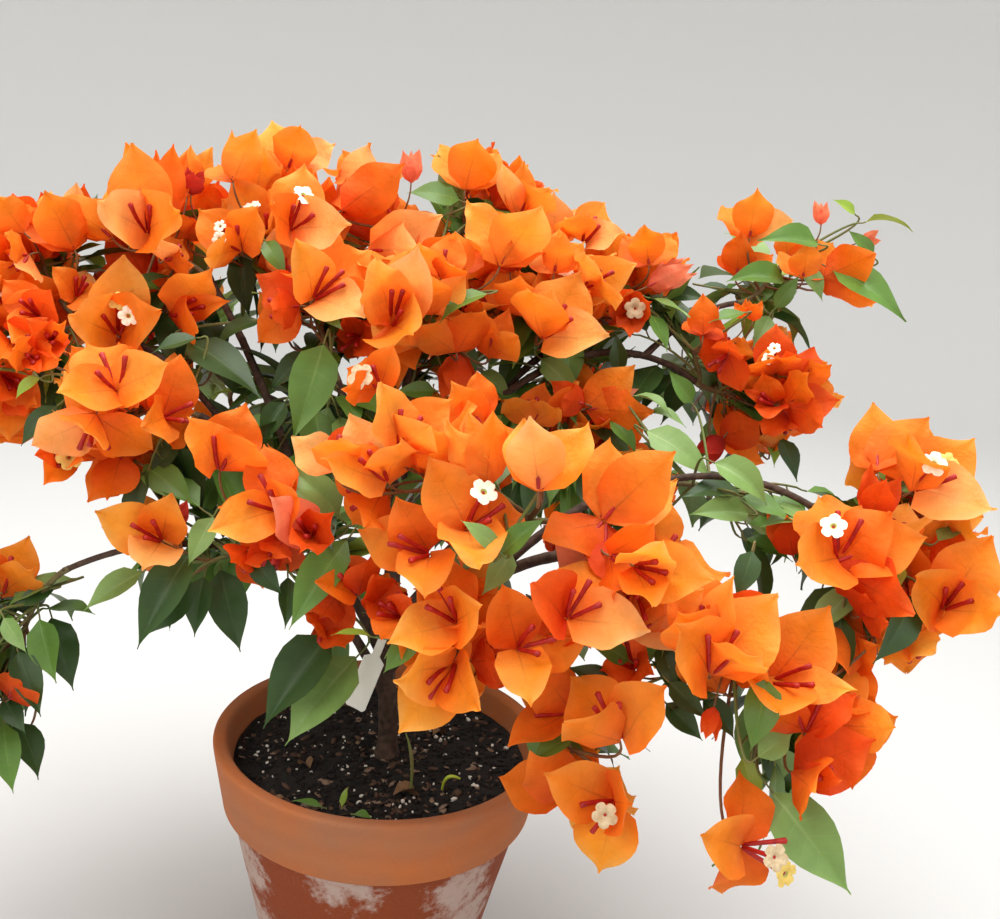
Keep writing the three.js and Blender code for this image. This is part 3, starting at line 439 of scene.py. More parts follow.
        ((2, 595), ((29, 537), None, (32, 572)), (0.2, 0.7, 1), 0, "bright deep bright"),
        ((9, 699), (None, (8, 671), (38, 694)), (0.3, 0.8, 0.7), 0, "deep red red"),
    ),
}

# How much the upper face of a leaf looks to the picture's right, up it and out of it.
SLOPING = (0, 0.55, 0.83)
LEVEL = (0, 0.85, 0.5)
HANGING = (0, 0.2, 1)

# Leaves of the side that faces the camera, read off in the same way. Each row has the pixels of the
# leaf's foot and tip; where its upper face looks; how many millimetres it stands behind its mass's
# front; its colour; and "back" where its tip goes back. All other tips come forward.
SEEN_LEAVES = {
    "centre_leaves": (
        ((324, 343), (302, 437), (0.25, 0.3, 0.9), -6, "mid"),
        ((245, 395), (222, 352), SLOPING, 10, "dark"),
        ((285, 402), (262, 440), HANGING, 6, "dark"),
        ((340, 430), (372, 402), SLOPING, 10, "dark"),
        ((230, 430), (214, 398), SLOPING, 10, "dark"),
    ),
    "crown_mid_left": (
        ((309, 354), (272, 386), SLOPING, 4, "dark"),
        ((188, 342), (269, 386), LEVEL, 2, "dark"),
        ((283, 312), (275, 350), HANGING, 8, "dark"),
        ((260, 321), (215, 336), LEVEL, 8, "dark"),
        ((266, 243), (288, 274), SLOPING, 6, "mid"),
        ((319, 309), (344, 329), SLOPING, 2, "mid"),
    ),
    "left_front": (
        ((339, 516), (295, 459), (0.2, 0.5, 0.8), -10, "pale"),
        ((327, 519), (298, 485), (0.2, 0.4, 0.8), -6, "pale"),
        ((347, 540), (294, 618), HANGING, -8, "mid"),
        ((363, 650), (290, 728), (0, 0.4, 0.9), 8, "pale"),
        ((330, 635), (269, 713), (-0.2, 0.3, 0.9), 4, "dark"),
        ((254, 559), (282, 592), HANGING, 10, "dark"),
        ((288, 577), (291, 624), (0.6, 0.2, 0.7), 8, "dark"),
    ),
    "left_low": (
        ((213, 517), (192, 561), (0, 0.3, 0.95), -8, "pale"),
        ((218, 510), (260, 471), (0, 0.6, 0.8), 0, "mid", "back"),
        ((144, 466), (199, 496), SLOPING, -2, "mid"),
        ((190, 554), (144, 637), (0, 0.3, 0.9), 0, "dark"),
        ((190, 579), (152, 633), (0.7, 0.2, 0.7), 4, "dark"),
        ((204, 577), (197, 631), HANGING, 6, "dark"),
        ((221, 570), (245, 645), (0.1, 0.2, 1), 0, "dark"),
        ((142, 572), (90, 603), SLOPING, 6, "pale"),
    ),
    "front_low_left": (
        ((370, 636), (335, 627), LEVEL, 6, "young"),
        ((503, 566), (485, 593), (0.1, 0.2, 1), -24, "pale"),
        ((407, 647), (382, 668), SLOPING, 4, "mid"),
    ),
    "left_hanging": (
        ((71, 579), (7, 590), LEVEL, 0, "pale"),
        ((49, 591), (16, 603), LEVEL, 4, "dark"),
        ((50, 608), (100, 603), (0, 0.95, 0.3), -4, "mid"),
        ((4, 618), (32, 649), HANGING, -8, "pale"),
        ((40, 620), (62, 676), HANGING, 2, "mid"),
        ((52, 618), (83, 681), (0.5, 0.2, 0.8), 8, "dark"),
        ((18, 652), (50, 707), (0.3, 0.3, 0.9), 0, "dark"),
        ((4, 699), (31, 728), SLOPING, 0, "dark"),
        ((16, 722), (55, 765), (0.5, 0.4, 0.7), 2, "dark"),
        ((4, 724), (20, 784), HANGING, -6, "mid"),
    ),
    "right_leaf_spray": (
        ((647, 431), (710, 467), (-0.1, 0.6, 0.8), -6, "pale"),
        ((715, 463), (769, 493), SLOPING, -8, "pale"),
        ((743, 496), (788, 514), SLOPING, -4, "mid"),
        ((748, 514), (691, 506), SLOPING, -2, "pale"),
        ((740, 492), (681, 486), LEVEL, 6, "dark"),
        ((800, 515), (759, 517), (0, 0.9, 0.3), -8, "pale"),
        ((746, 539), (789, 554), LEVEL, 0, "mid"),
        ((663, 539), (695, 560), SLOPING, 6, "dark"),
        ((630, 486), (650, 521), HANGING, 12, "mid"),
        ((635, 396), (673, 406), (0, 0.95, 0.3), 10, "pale"),
        ((655, 414), (686, 416), LEVEL, 8, "pale"),
        ((770, 500), (812, 522), LEVEL, 0, "mid"),
        ((690, 400), (668, 372), SLOPING, 6, "mid"),
    ),
    "right_mid": (
        ((781, 438), (794, 479), HANGING, 10, "dark"),
        ((766, 323), (752, 347), (0.3, 0.3, 0.9), -4, "pale"),
    ),
    "right_upper_leaves": (
        ((650, 298), (688, 314), LEVEL, -6, "pale"),
        ((653, 318), (670, 348), SLOPING, 0, "mid"),
        ((672, 296), (703, 294), SLOPING, 6, "dark"),
        ((736, 314), (708, 320), LEVEL, 0, "mid"),
    ),
    "crown_right": (
        ((541, 359), (580, 396), (-0.3, 0.5, 0.8), 0, "pale"),
        ((619, 371), (615, 335), HANGING, 10, "dark"),
        ((578, 359), (608, 359), LEVEL, 8, "dark"),
        ((481, 372), (512, 396), SLOPING, 0, "pale"),
    ),
    "upper_right_spray": (
        ((818, 244), (758, 238), SLOPING, -8, "mid"),
        ((784, 281), (729, 271), SLOPING, -6, "mid"),
        ((832, 269), (900, 313), (-0.2, 0.7, 0.6), -26, "mid"),
        ((787, 292), (797, 277), SLOPING, -6, "mid"),
        ((812, 277), (823, 298), HANGING, -8, "pale"),
        ((767, 316), (814, 336), LEVEL, -2, "dark"),
        ((772, 285), (734, 307), SLOPING, -4, "mid"),
        ((701, 285), (738, 293), LEVEL, 4, "dark"),
        ((866, 222), (910, 220), (0, 0.95, 0.25), 0, "young"),
        ((855, 214), (832, 201), SLOPING, 0, "young"),
        ((863, 243), (850, 231), SLOPING, 2, "mid"),
    ),
    "right_low": (
        ((752, 551), (735, 595), (0.2, 0.3, 0.9), 8, "dark"),
        ((766, 679), (748, 744), HANGING, -4, "mid"),
        ((669, 682), (704, 715), SLOPING, 6, "dark"),
        ((758, 757), (802, 734), (0, 0.5, 0.85), -2, "pale", "back"),
        ((670, 707), (700, 735), SLOPING, 10, "dark"),
        ((717, 713), (737, 733), SLOPING, 8, "dark"),
        ((665, 655), (675, 687), HANGING, 6, "dark"),
        ((621, 656), (591, 637), SLOPING, 8, "mid"),
        ((609, 684), (571, 662), SLOPING, 8, "dark"),
        ((655, 642), (649, 662), HANGING, 10, "mid"),
        ((678, 685), (655, 658), SLOPING, 8, "dark"),
    ),
    "right_hanging": (
        ((743, 757), (753, 809), (0, 0.1, 1), -10, "young"),
        ((764, 781), (837, 875), (-0.3, 0.3, 0.9), -6, "pale"),
    ),
    "front_centre_left": (
        ((499, 551), (467, 517), (0.3, 0.3, 0.9), -26, "pale"),
    ),
    "front_centre": (
        ((502, 554), (539, 515), (-0.2, 0.3, 0.9), -8, "mid"),
    ),
    "crown_centre": (
        ((487, 294), (436, 310), (0, 0.7, 0.7), -10, "mid"),
        ((425, 391), (396, 392), SLOPING, 6, "mid"),
    ),
    "crown_top_mid": (
        ((459, 200), (412, 188), SLOPING, 0, "mid"),
    ),
    "crown_top_right": (
        ((460, 210), (482, 226), SLOPING, 0, "mid"),
    ),
    "far_left": (
        ((40, 379), (0, 364), LEVEL, -6, "pale"),
    ),
    "left_shoulder": (
        ((37, 380), (17, 395), SLOPING, -4, "young"),
        ((57, 406), (23, 441), SLOPING, 10, "dark"),
        ((197, 338), (156, 350), LEVEL, 6, "dark"),
        ((168, 452), (153, 475), HANGING, 10, "dark"),
    ),
    "far_left_top": (
        ((78, 253), (103, 242), LEVEL, -10, "mid"),
    ),
    "right_tip": (
        ((938, 541), (977, 519), LEVEL, 2, "pale", "back"),
    ),
    "right_tip_low": (
        ((780, 506), (815, 518), LEVEL, 4, "pale"),
        ((913, 596), (875, 659), (0.2, 0.2, 0.9), 2, "dark"),
    ),
    "crown_top_left": (
        ((241, 256), (250, 314), HANGING, 6, "dark"),
        ((319, 239), (343, 229), LEVEL, 6, "mid"),
    ),
    "front_low_right": (
        ((569, 738), (529, 754), (0, 0.8, 0.5), 8, "mid"),
    ),
    "centre_back": (
        ((610, 420), (640, 448), SLOPING, 4, "mid"),
        ((520, 350), (498, 388), SLOPING, 8, "dark"),
    ),
}

# How the flowers of the table are fitted to the picture: what counts as one unit of error, the
# trials, where the middle of a flower is between its foot and its tips, the share of its mass's
# size at whose front it stands, its least and most sizes, and how far to the front it may come.
FIT = {
    "tip": 4.0,
    "facing": 0.139,
    "facing_unseen": 0.083,
    "sideways": 0.333,
    "opening": 0.13,
    "size": 0.09,
    "depth": 10.0,
    "length": 0.1,
    "starts": 9,
    "steps": 40,
    "nudge": 1e-5,
    "middle": 0.45,
    "front": 0.72,
    "small": 0.6,
    "least_small": 0.3,
    "least": 0.62,
    "most": 1.22,
    "most_lean": math.radians(105),
    "foot_room": 6.0,
    "foremost": -157.0,
}
# The same for the leaves, with how far a tip comes forward or goes back for the length that shows,
# the lengths of a leaf that show without and with its stalk, and the masses of smaller leaves.
LEAF_FIT = {
    "front": 0.7,
    "slope": 0.426,
    "shown": 50.4,
    "reach": 58.4,
    "least": 0.5,
    "least_small": 0.32,
    "most": 1.15,
    "small_in": ("front_centre", "front_centre_left"),
}

# The picture's size in pixels.
PICTURE = {"width": 1000, "height": 919}
# How all other flowers and leaves stay behind what is read off the picture: how far below it in
# pixels they do so too, the cells in pixels in which its depth is noted, half the width in cells
# of a gap that is closed to flowers and to leaves, and the distance in millimetres.
HIDING = {"below": 90, "cell": 4, "flower_gap": 3, "leaf_gap": 4, "margin": 2.5}


def colour_of(hex_text):
    """The linear colour of an sRGB hex value."""
    values = [int(hex_text[i : i + 2], 16) / 255 for i in (0, 2, 4)]
    return tuple(v / 12.92 if v <= 0.04045 else ((v + 0.055) / 1.055) ** 2.4 for v in values) + (1.0,)


def unit(vector):
    return vector / max(float(np.linalg.norm(vector)), 1e-9)


def camera_axes():
    """The camera's directions across the picture to the right, up it, and forward into it."""
    pitch, roll = math.radians(CAMERA["pitch"]), math.radians(CAMERA["roll"])
    forward = np.array([0.0, math.cos(pitch), -math.sin(pitch)])
    right = np.array([1.0, 0.0, 0.0])
    up = np.cross(right, forward)
    across = right * math.cos(roll) + up * math.sin(roll)
    over = up * math.cos(roll) - right * math.sin(roll)
    return across, over, forward


def in_view(points):
    """Where the camera sees points: pixels across, pixels down, and the depth in millimetres."""
    across, over, forward = camera_axes()
    offsets = np.atleast_2d(points) - CAMERA_PLACE
    depth = offsets @ forward
    scale = CAMERA["focal_pixels"] / depth
    right = PICTURE["width"] / 2 + offsets @ across * scale
    down = PICTURE["height"] / 2 - offsets @ over * scale
    return np.stack([right, down, depth], axis=-1)


def lowest(grid, reach):
    """The lowest value of a grid within a round reach of each cell."""
    padded = np.pad(grid, reach, mode="edge")
    rows, columns = grid.shape
    result = grid.copy()
    for down in range(-reach, reach + 1):
        for right in range(-reach, reach + 1):
            if down**2 + right**2 <= reach**2 + 1:
                top, left = reach + down, reach + right
                result = np.minimum(result, padded[top : top + rows, left : left + columns])
    return result


class SeenMap:
    """How deep what is read off the picture stands in each cell of the camera's view."""

    def __init__(self):
        rows = (PICTURE["height"] + HIDING["below"]) // HIDING["cell"] + 1
        columns = PICTURE["width"] // HIDING["cell"] + 1
        self.depths = np.full((rows, columns), np.inf)

    def cells(self, points):
        """The row, column and depth of points, and whether each is in the picture."""
        right, down, depth = in_view(points).T
        row = np.floor(down / HIDING["cell"]).astype(int)
        column = np.floor(right / HIDING["cell"]).astype(int)
        rows, columns = self.depths.shape
        inside = (row >= 0) & (row < rows) & (column >= 0) & (column < columns)
        return row[inside], column[inside], depth[inside]

    def add(self, points):
        row, column, depth = self.cells(points)
        np.minimum.at(self.depths, (row, column), depth)

    def close(self, gap):
        """Fills the gaps between pieces that are narrower than twice a number of cells."""
        own = -lowest(-lowest(self.depths, 1), 1)
        wide = -lowest(-lowest(self.depths, gap), gap)
        self.depths = np.where(np.isinf(own), wide, own)

    def hides(self, points):
        """Whether all of the points in the picture are behind what is seen."""
        row, column, depth = self.cells(points)
        return bool(np.all(self.depths[row, column] + HIDING["margin"] < depth))


def new_object(name, data):
    """A new object of the scene."""
    made = bpy.data.objects.new(name, data)
    bpy.context.scene.collection.objects.link(made)
    return made


class Pile:
    """Meshes of one kind, gathered to be joined: corners, faces, pattern places and finishes."""

    def __init__(self):
        self.points, self.spots = [], []
        self.corners, self.sizes, self.finishes = [], [], []
        self.count = 0

    def add(self, points, faces, spots=None, finish=0):
        """Adds one mesh. All its faces have the same number of corners, and one finish or one each."""
        points = np.asarray(points, float).reshape(-1, 3)
        faces = np.asarray(faces, int)
        self.points.append(points)
        self.spots.append(np.zeros((len(points), 2)) if spots is None else np.asarray(spots, float))
        self.corners.append(faces.ravel() + self.count)
        self.sizes.append(np.full(len(faces), faces.shape[1]))
        self.finishes.append(np.broadcast_to(finish, len(faces)))
        self.count += len(points)

    def build(self, name, materials, slot, replaced):
        """Makes the joined mesh, in metres, as a piece that rides on the plant's only body."""
        mesh = bpy.data.meshes.new(name)
        corners = np.concatenate(self.corners)
        sizes = np.concatenate(self.sizes)
        mesh.vertices.add(self.count)
        mesh.vertices.foreach_set("co", (np.concatenate(self.points) * MM).ravel())
        mesh.loops.add(len(corners))
        mesh.loops.foreach_set("vertex_index", corners)
        mesh.polygons.add(len(sizes))
        mesh.polygons.foreach_set("loop_start", np.concatenate([[0], np.cumsum(sizes)[:-1]]))
        mesh.polygons.foreach_set("material_index", np.concatenate(self.finishes))
        mesh.polygons.foreach_set("use_smooth", np.ones(len(sizes), bool))
        layer = mesh.uv_layers.new(name="blade")
        layer.data.foreach_set("uv", np.concatenate(self.spots)[corners].ravel())
        mesh.update(calc_edges=True)
        mesh.validate()
        piece = new_object(name, mesh)
        for material in materials:
            mesh.materials.append(material)
        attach(piece, "root")
        if replaced:
            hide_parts(*replaced)
        return piece


def grid_faces(rows, columns, closed=False):
    """Four-cornered faces between the rows of a grid of points, with columns points in a row."""
    across = columns if closed else columns - 1
    row, column = np.meshgrid(np.arange(rows - 1), np.arange(across), indexing="ij")
    following = (column + 1) % columns
    corners = [row * columns + column, row * columns + following]
    corners += [(row + 1) * columns + following, (row + 1) * columns + column]
    return np.stack(corners, axis=-1).reshape(-1, 4)


def bezier(curve, shares):
    start, middle, end = curve
    t = np.asarray(shares, float).reshape(-1, 1)
    return (1 - t) ** 2 * start + 2 * t * (1 - t) * middle + t**2 * end


def bezier_point(curve, share):
    return bezier(curve, [share])[0]


def bezier_direction(curve, share):
    start, middle, end = curve
    return unit(2 * (1 - share) * (middle - start) + 2 * share * (end - middle))


def rings(path):
    """Two square directions across a path at each of its points, carried along without twisting."""
    tangents = np.gradient(path, axis=0)
    tangents /= np.maximum(np.linalg.norm(tangents, axis=1, keepdims=True), 1e-9)
    first = np.cross(tangents[0], UP if abs(tangents[0][2]) < 0.9 else np.array([1.0, 0, 0]))
    firsts = []
    for tangent in tangents:
        first = unit(first - tangent * float(first @ tangent))
        firsts.append(first)
    firsts = np.array(firsts)
    return firsts, np.cross(tangents, firsts)


def tube(path, radii, sides):
    """The points and faces of a round bar along a path. radii is one value for each of its points."""
    firsts, seconds = rings(path)
    angles = np.arange(sides) * 2 * math.pi / sides
    across = firsts[:, None] * np.cos(angles)[None, :, None]
    across = across + seconds[:, None] * np.sin(angles)[None, :, None]
    points = path[:, None] + across * np.asarray(radii).reshape(-1, 1, 1)
    return points.reshape(-1, 3), grid_faces(len(path), sides, closed=True)


def add_tube(pile, path, radii, sides, finish=0):
    """Adds a round bar, its far end closed by drawing its last ring together."""
    radii = np.append(np.asarray(radii, float), radii[-1] * 0.05)
    path = np.vstack([path, path[-1] + unit(path[-1] - path[-2]) * radii[-2] * 0.5])
    points, faces = tube(path, radii, sides)
    pile.add(points, faces, finish=finish)


def seeded(*words):
    """A random source that gives the same numbers on each run."""
    return np.random.default_rng([GROWTH["seed"], *words])


def turned_to(direction, spin):
    """The three axes, as rows, of a piece whose own +Z turns to a direction, spun about itself."""
    side = np.cross(UP if abs(direction[2]) < 0.95 else np.array([0.0, 1.0, 0.0]), direction)
    side = unit(side)
    other = np.cross(direction, side)
    across = side * math.cos(spin) + other * math.sin(spin)
    return np.array([across, np.cross(direction, across), direction])


def ovate(share, widest, sharpness):
    """The half width of a pointed oval with a rounded base, as a share of its greatest."""
    share = np.clip(share, 0, 1)
    low = np.sqrt(np.clip(1 - ((widest - share) / widest) ** 2, 0, 1))
    high = np.cos(np.clip((share - widest) / (1 - widest), 0, 1) * math.pi / 2) ** sharpness
    return np.where(share < widest, low, high)


def blade_grid(rows, columns, rise):
    """Shares along and across a blade, row by row. Rows sweep forward from the midrib, as veins do."""
    across = np.linspace(-1, 1, columns + 1)
    rows_along = np.linspace(0.0, 1.0, rows + 1) ** 0.9
    along, across = np.meshgrid(rows_along, across, indexing="ij")
    swept = along + rise * np.sin(math.pi * along) * np.abs(across)
    margin = along + rise * np.sin(math.pi * along)
    return along, across, swept, margin


def bract_points(random, size, opening, cupping):
    """One bract in its flower's frame: its base at the middle, leaning out to +X from the axis +Z."""
    rows, columns = BRACT["rows"], BRACT["columns"]
    along, across, swept, margin = blade_grid(rows, columns, 0.15)
    length = BRACT["length"] * size * random.uniform(0.92, 1.08)
    slim = min(1.0, max(0.4, 0.16 + 1.4 * opening))
    half = BRACT["half_width"] * size * slim * random.uniform(0.92, 1.08)
    width = np.maximum(ovate(margin, BRACT["widest"], BRACT["point"]), 0.03) * half
    lean_foot = opening * random.uniform(0.45, 0.7)
    lean_middle = opening * random.uniform(0.95, 1.1)
    lean_tip = opening * random.uniform(1.0, 1.5)
    steps = np.linspace(0, 1, 41)
    lean = np.interp(steps, [0, 0.35, 0.7, 1], [lean_foot, lean_middle, lean_middle, lean_tip])
    outs = np.concatenate([[0], np.cumsum(np.sin(lean[:-1]))]) / 40 * length
    ups = np.concatenate([[0], np.cumsum(np.cos(lean[:-1]))]) / 40 * length
    out = np.interp(swept, steps, outs)
    up = np.interp(swept, steps, ups)
    angle = np.interp(swept, steps, lean)
    curve = cupping * (1.25 - swept) / 22
    side = across * width
    bend = side * curve
    offset = np.sin(bend) / np.maximum(np.abs(curve), 1e-6) * np.sign(curve)
    lift = (1 - np.cos(bend)) / np.maximum(np.abs(curve), 1e-6)
    phase = np.where(across < 0, random.uniform(0, 6.3), random.uniform(0, 6.3))
    waves = random.uniform(1.4, 2.6)
    ripple = np.sin(waves * 2 * math.pi * swept + phase)
    lift = lift + random.uniform(1.0, 3.0) * size * np.abs(across) ** 2 * ripple
    crease = np.sin(2 * math.pi * (swept * random.uniform(0.7, 1.3) + random.random()))
    lift = lift + random.uniform(0.5, 1.7) * size * crease * (1 - 0.6 * np.abs(across))
    lift = lift - 0.7 * (1 - np.abs(across)) ** 3 * np.sin(math.pi * swept)
    points = np.stack([out - lift * np.cos(angle), offset, up + lift * np.sin(angle)], axis=-1)
    twist = random.uniform(-0.25, 0.25) * swept
    turned = np.stack(
        [
            points[..., 0],
            points[..., 1] * np.cos(twist) - (points[..., 2] - up) * np.sin(twist),
            up + points[..., 1] * np.sin(twist) + (points[..., 2] - up) * np.cos(twist),
        ],
        axis=-1,
    )
    spots = np.stack([(across + 1) / 2, along], axis=-1)
    return turned.reshape(-1, 3), spots.reshape(-1, 2)


BRACT_FACES = grid_faces(BRACT["rows"] + 1, BRACT["columns"] + 1)
LEAF_FACES = grid_faces(LEAF["rows"] + 1, LEAF["columns"] + 1)


def leaf_points(random, size, fold, droop):
    """One leaf along +Z from its stalk's end, with its upper face to +X."""
    along, across, swept, margin = blade_grid(LEAF["rows"], LEAF["columns"], 0.13)
    length = LEAF["length"] * size
    half = LEAF["half_width"] * size * random.uniform(0.88, 1.1)
    width = np.maximum(ovate(margin, LEAF["widest"], 1.6), 0.03) * half
    side = across * width
    wave = random.uniform(0.3, 1.1) * size
    phase = np.where(across < 0, random.uniform(0, 6.3), random.uniform(0, 6.3))
    lift = np.abs(side) * fold + wave * np.abs(across) ** 2 * np.sin(1.6 * math.pi * 2 * swept + phase)
    steps = np.linspace(0, 1, 41)
    lean = droop * (steps - 0.15)
    ups = np.concatenate([[0], np.cumsum(np.cos(lean[:-1]))]) / 40 * length
    falls = np.concatenate([[0], np.cumsum(np.sin(lean[:-1]))]) / 40 * length
    up = np.interp(swept, steps, ups)
    fall = np.interp(swept, steps, falls)
    angle = np.interp(swept, steps, lean)
    curl = random.uniform(-0.2, 0.2) * swept**2
    points = np.stack(
        [lift * np.cos(angle) - fall + side * np.sin(curl), side * np.cos(curl), up + lift * np.sin(angle)],
        axis=-1,
    )
    spots = np.stack([(across + 1) / 2, along], axis=-1)
    return points.reshape(-1, 3), spots.reshape(-1, 2)


# The flowers and leaves read off the picture.


def pixel_ray(pixel):
    """The way from the camera to a pixel of the picture, for each millimetre of depth."""
    across, over, forward = camera_axes()
    right = (pixel[0] - PICTURE["width"] / 2) / CAMERA["focal_pixels"]
    down = (pixel[1] - PICTURE["height"] / 2) / CAMERA["focal_pixels"]
    return forward + across * right - over * down


def front_depth(mass, pixel, share):
    """How deep a pixel's ray enters a mass's space, drawn in to a share of its size, or passes it."""
    size = mass["size"] * share
    start = (CAMERA_PLACE - mass["centre"]) / size
    ray = pixel_ray(pixel) / size
    square, half = float(ray @ ray), float(ray @ start)
    inside = half**2 - square * (float(start @ start) - 1)
    return (-half - math.sqrt(max(inside, 0.0))) / square


def read_flower(mass, row):
    """A row of SEEN_FLOWERS as numbers for the fit, with a first guess of which way it faces."""
    foot, tips, (facing, opening, size), behind, *_ = row
    shown = [tip for tip in tips if tip]
    mean_tip = np.mean(shown, axis=0)
    middle = np.array(foot) * (1 - FIT["middle"]) + mean_tip * FIT["middle"]
    sideways = unit((mean_tip - foot) * (1, -1)) * math.sqrt(max(0.05, 1 - facing**2))
    return {
        "ray": pixel_ray(foot),
        "depth": front_depth(mass, middle, FIT["front"]) + behind,
        "tips": [tip or foot for tip in tips],
        "shown": [tip is not None for tip in tips],
        "facing": [*sideways, facing],
        "opening": opening,
        "size": size,
    }


def flower_axes(facing):
    """The axis of flowers that face some way from the camera, and two directions across it."""
    across, over, forward = camera_axes()
    axis = facing @ np.array([across, over, -forward])
    axis /= np.linalg.norm(axis, axis=-1, keepdims=True)
    first = across - axis * (axis @ across)[..., None]
    first /= np.linalg.norm(first, axis=-1, keepdims=True)
    return axis, first, np.cross(axis, first)


def cup_direction(axes, spin, opening, number):
    """The way in which one of the three bracts of flowers leans."""
    axis, first, second = axes
    angle = spin + number * 2 * math.pi / 3
    side = first * np.cos(angle)[..., None] + second * np.sin(angle)[..., None]
    return side * np.sin(opening)[..., None] + axis * np.cos(opening)[..., None]


def fit_errors(values, read):
    """How far each guess of a facing, spin, opening, size and depth is from what was read."""
    facing, spin, opening, size, behind = values[:, :3], *values[:, 3:].T
    length = np.linalg.norm(facing, axis=1)
    axes = flower_axes(facing)
    base = CAMERA_PLACE + read["ray"] * (read["depth"] + behind)[:, None]
    errors = []
    for number in range(3):
        reach = cup_direction(axes, spin, opening, number) * (BRACT["length"] * size)[:, None]
        apart = in_view(base + reach)[:, :2] - read["tips"][:, number]
        errors.append(apart * read["shown"][:, number, None] / FIT["tip"])
    turned = facing / length[:, None] - read["facing"]
    all_seen = np.all(read["shown"], axis=1)
    errors.append(turned[:, :2] * np.where(all_seen, 0, 1 / FIT["sideways"])[:, None])
    errors.append((turned[:, 2] / np.where(all_seen, FIT["facing"], FIT["facing_unseen"]))[:, None])
    errors.append(((opening - read["opening"]) / FIT["opening"])[:, None])
    errors.append(((size - read["size"]) / FIT["size"])[:, None])
    errors.append((behind / FIT["depth"])[:, None])
    errors.append(((length - 1) / FIT["length"])[:, None])
    return np.concatenate(errors, axis=1)


def settled(values, errors_of):
    """Many small fits at once: damped steps that bring down each one's sum of squared errors."""
    nudges = np.eye(values.shape[1]) * FIT["nudge"]
    damping = np.full(len(values), 0.01)
    errors = errors_of(values)
    for _ in range(FIT["steps"]):
        slopes = [(errors_of(values + nudge) - errors) / FIT["nudge"] for nudge in nudges]
        slopes = np.stack(slopes, axis=1)
        square = slopes @ slopes.transpose(0, 2, 1)
        square = square * (1 + np.eye(len(nudges)) * damping[:, None, None])
        change = np.linalg.solve(square, slopes @ errors[:, :, None])[:, :, 0]
        tried = errors_of(values - change)
        better = np.sum(tried**2, axis=1) < np.sum(errors**2, axis=1)
        values = np.where(better[:, None], values - change, values)
        errors = np.where(better[:, None], tried, errors)
        damping = np.where(better, damping * 0.3, damping * 4)
    return values, np.sum(errors**2, axis=1)


def fitted_flowers(masses):
    """The foot, axis, size and bracts' directions of each flower read off the picture, by mass."""
    rows = [(name, row) for name, group in SEEN_FLOWERS.items() for row in group]
    readings = [read_flower(masses[name], row) for name, row in rows]
    starts = FIT["starts"]
    read = {key: np.repeat([one[key] for one in readings], starts, axis=0) for key in readings[0]}
    spins = np.tile(np.arange(starts) * 2 * math.pi / starts, len(rows))
    guess = [*read["facing"].T, spins, read["opening"], read["size"], np.zeros(len(spins))]
    values, errors = settled(np.stack(guess, axis=1), lambda tried: fit_errors(tried, read))
    best = np.argmin(errors.reshape(-1, starts), axis=1) + np.arange(len(rows)) * starts
    flowers = {name: [] for name in SEEN_FLOWERS}
    for (name, row), one, found in zip(rows, readings, values[best]):
        flowers[name].append(set_flower(row, one, found))
    return flowers


def set_flower(row, read, found):
    """Where one flower stands and how its bracts lean, so that each tip shown ends on its pixel."""
    facing, spin, opening, size, behind = found[:3], *found[3:]
    least = FIT["least_small"] if read["size"] < FIT["small"] else FIT["least"]
    size = min(FIT["most"], max(least, size))
    reach = BRACT["length"] * size
    base = CAMERA_PLACE + read["ray"] * (read["depth"] + behind)
    axes = flower_axes(facing)
    leans = []
    for number, tip in enumerate(row[1]):
        direction = cup_direction(axes, spin, opening, number)
        if tip:
            direction = direction_to_tip(base, reach, tip, direction)
        lean = math.acos(min(1.0, float(direction @ axes[0])))
        leans.append((unit(direction - axes[0] * math.cos(lean)), min(lean, FIT["most_lean"])))
    ends = [base + reach * (side * math.sin(lean) + axes[0] * math.cos(lean)) for side, lean in leans]
    foremost = min([base[1] + FIT["foot_room"]] + [end[1] for end in ends])
    push = max(0.0, FIT["foremost"] - foremost)
    return base + read["ray"] * push / read["ray"][1], axes[0], size, leans


def direction_to_tip(base, reach, pixel, guess):
    """The direction in which a bract ends on a pixel's ray, of two the one nearer to a guess."""
    ray = unit(pixel_ray(pixel))
    start = CAMERA_PLACE - base
    half = float(start @ ray)
    inside = half**2 - float(start @ start) + reach**2
    part = math.sqrt(max(0.0, inside))
    ends = [start + ray * depth for depth in (-half - part, -half + part)]
    return unit(min(ends, key=lambda end: float(np.linalg.norm(end - guess * reach))))


def set_leaf(name, mass, row):
    """The foot, direction, upper face and size of one leaf read off the picture."""
    foot, tip, face, behind, tint, *back = row
    middle = (np.array(foot) + np.array(tip)) / 2
    depth = front_depth(mass, middle, LEAF_FIT["front"]) + behind
    across, over, into = camera_axes()
    forward = -1 if back else 1
    flat = (pixel_ray(tip) - pixel_ray(foot)) * depth
    whole = flat - into * forward * float(np.linalg.norm(flat)) * LEAF_FIT["slope"]
    direction = unit(whole)
    small = tint == "young" or name in LEAF_FIT["small_in"]
    least = LEAF_FIT["least_small"] if small else LEAF_FIT["least"]
    size = min(LEAF_FIT["most"], max(least, float(np.linalg.norm(whole)) / LEAF_FIT["shown"]))
    end = CAMERA_PLACE + pixel_ray(foot) * depth + whole
    upper = face[0] * across + face[1] * over - face[2] * into
    upper = unit(upper - direction * float(upper @ direction))
    return end - direction * LEAF_FIT["reach"] * size, direction, upper, size


# The growing plant.


class Plant:
    """All that grows: its piles of meshes by kind, and what has to be kept clear of."""

    def __init__(self):
        self.limbs = {}
        self.piles = {}
        self.heads = np.empty((0, 3))
        self.limb_points = np.empty((0, 3))
        self.seen_flowers = SeenMap()
        self.seen_leaves = SeenMap()

    def pile(self, kind):
        return self.piles.setdefault(kind, Pile())


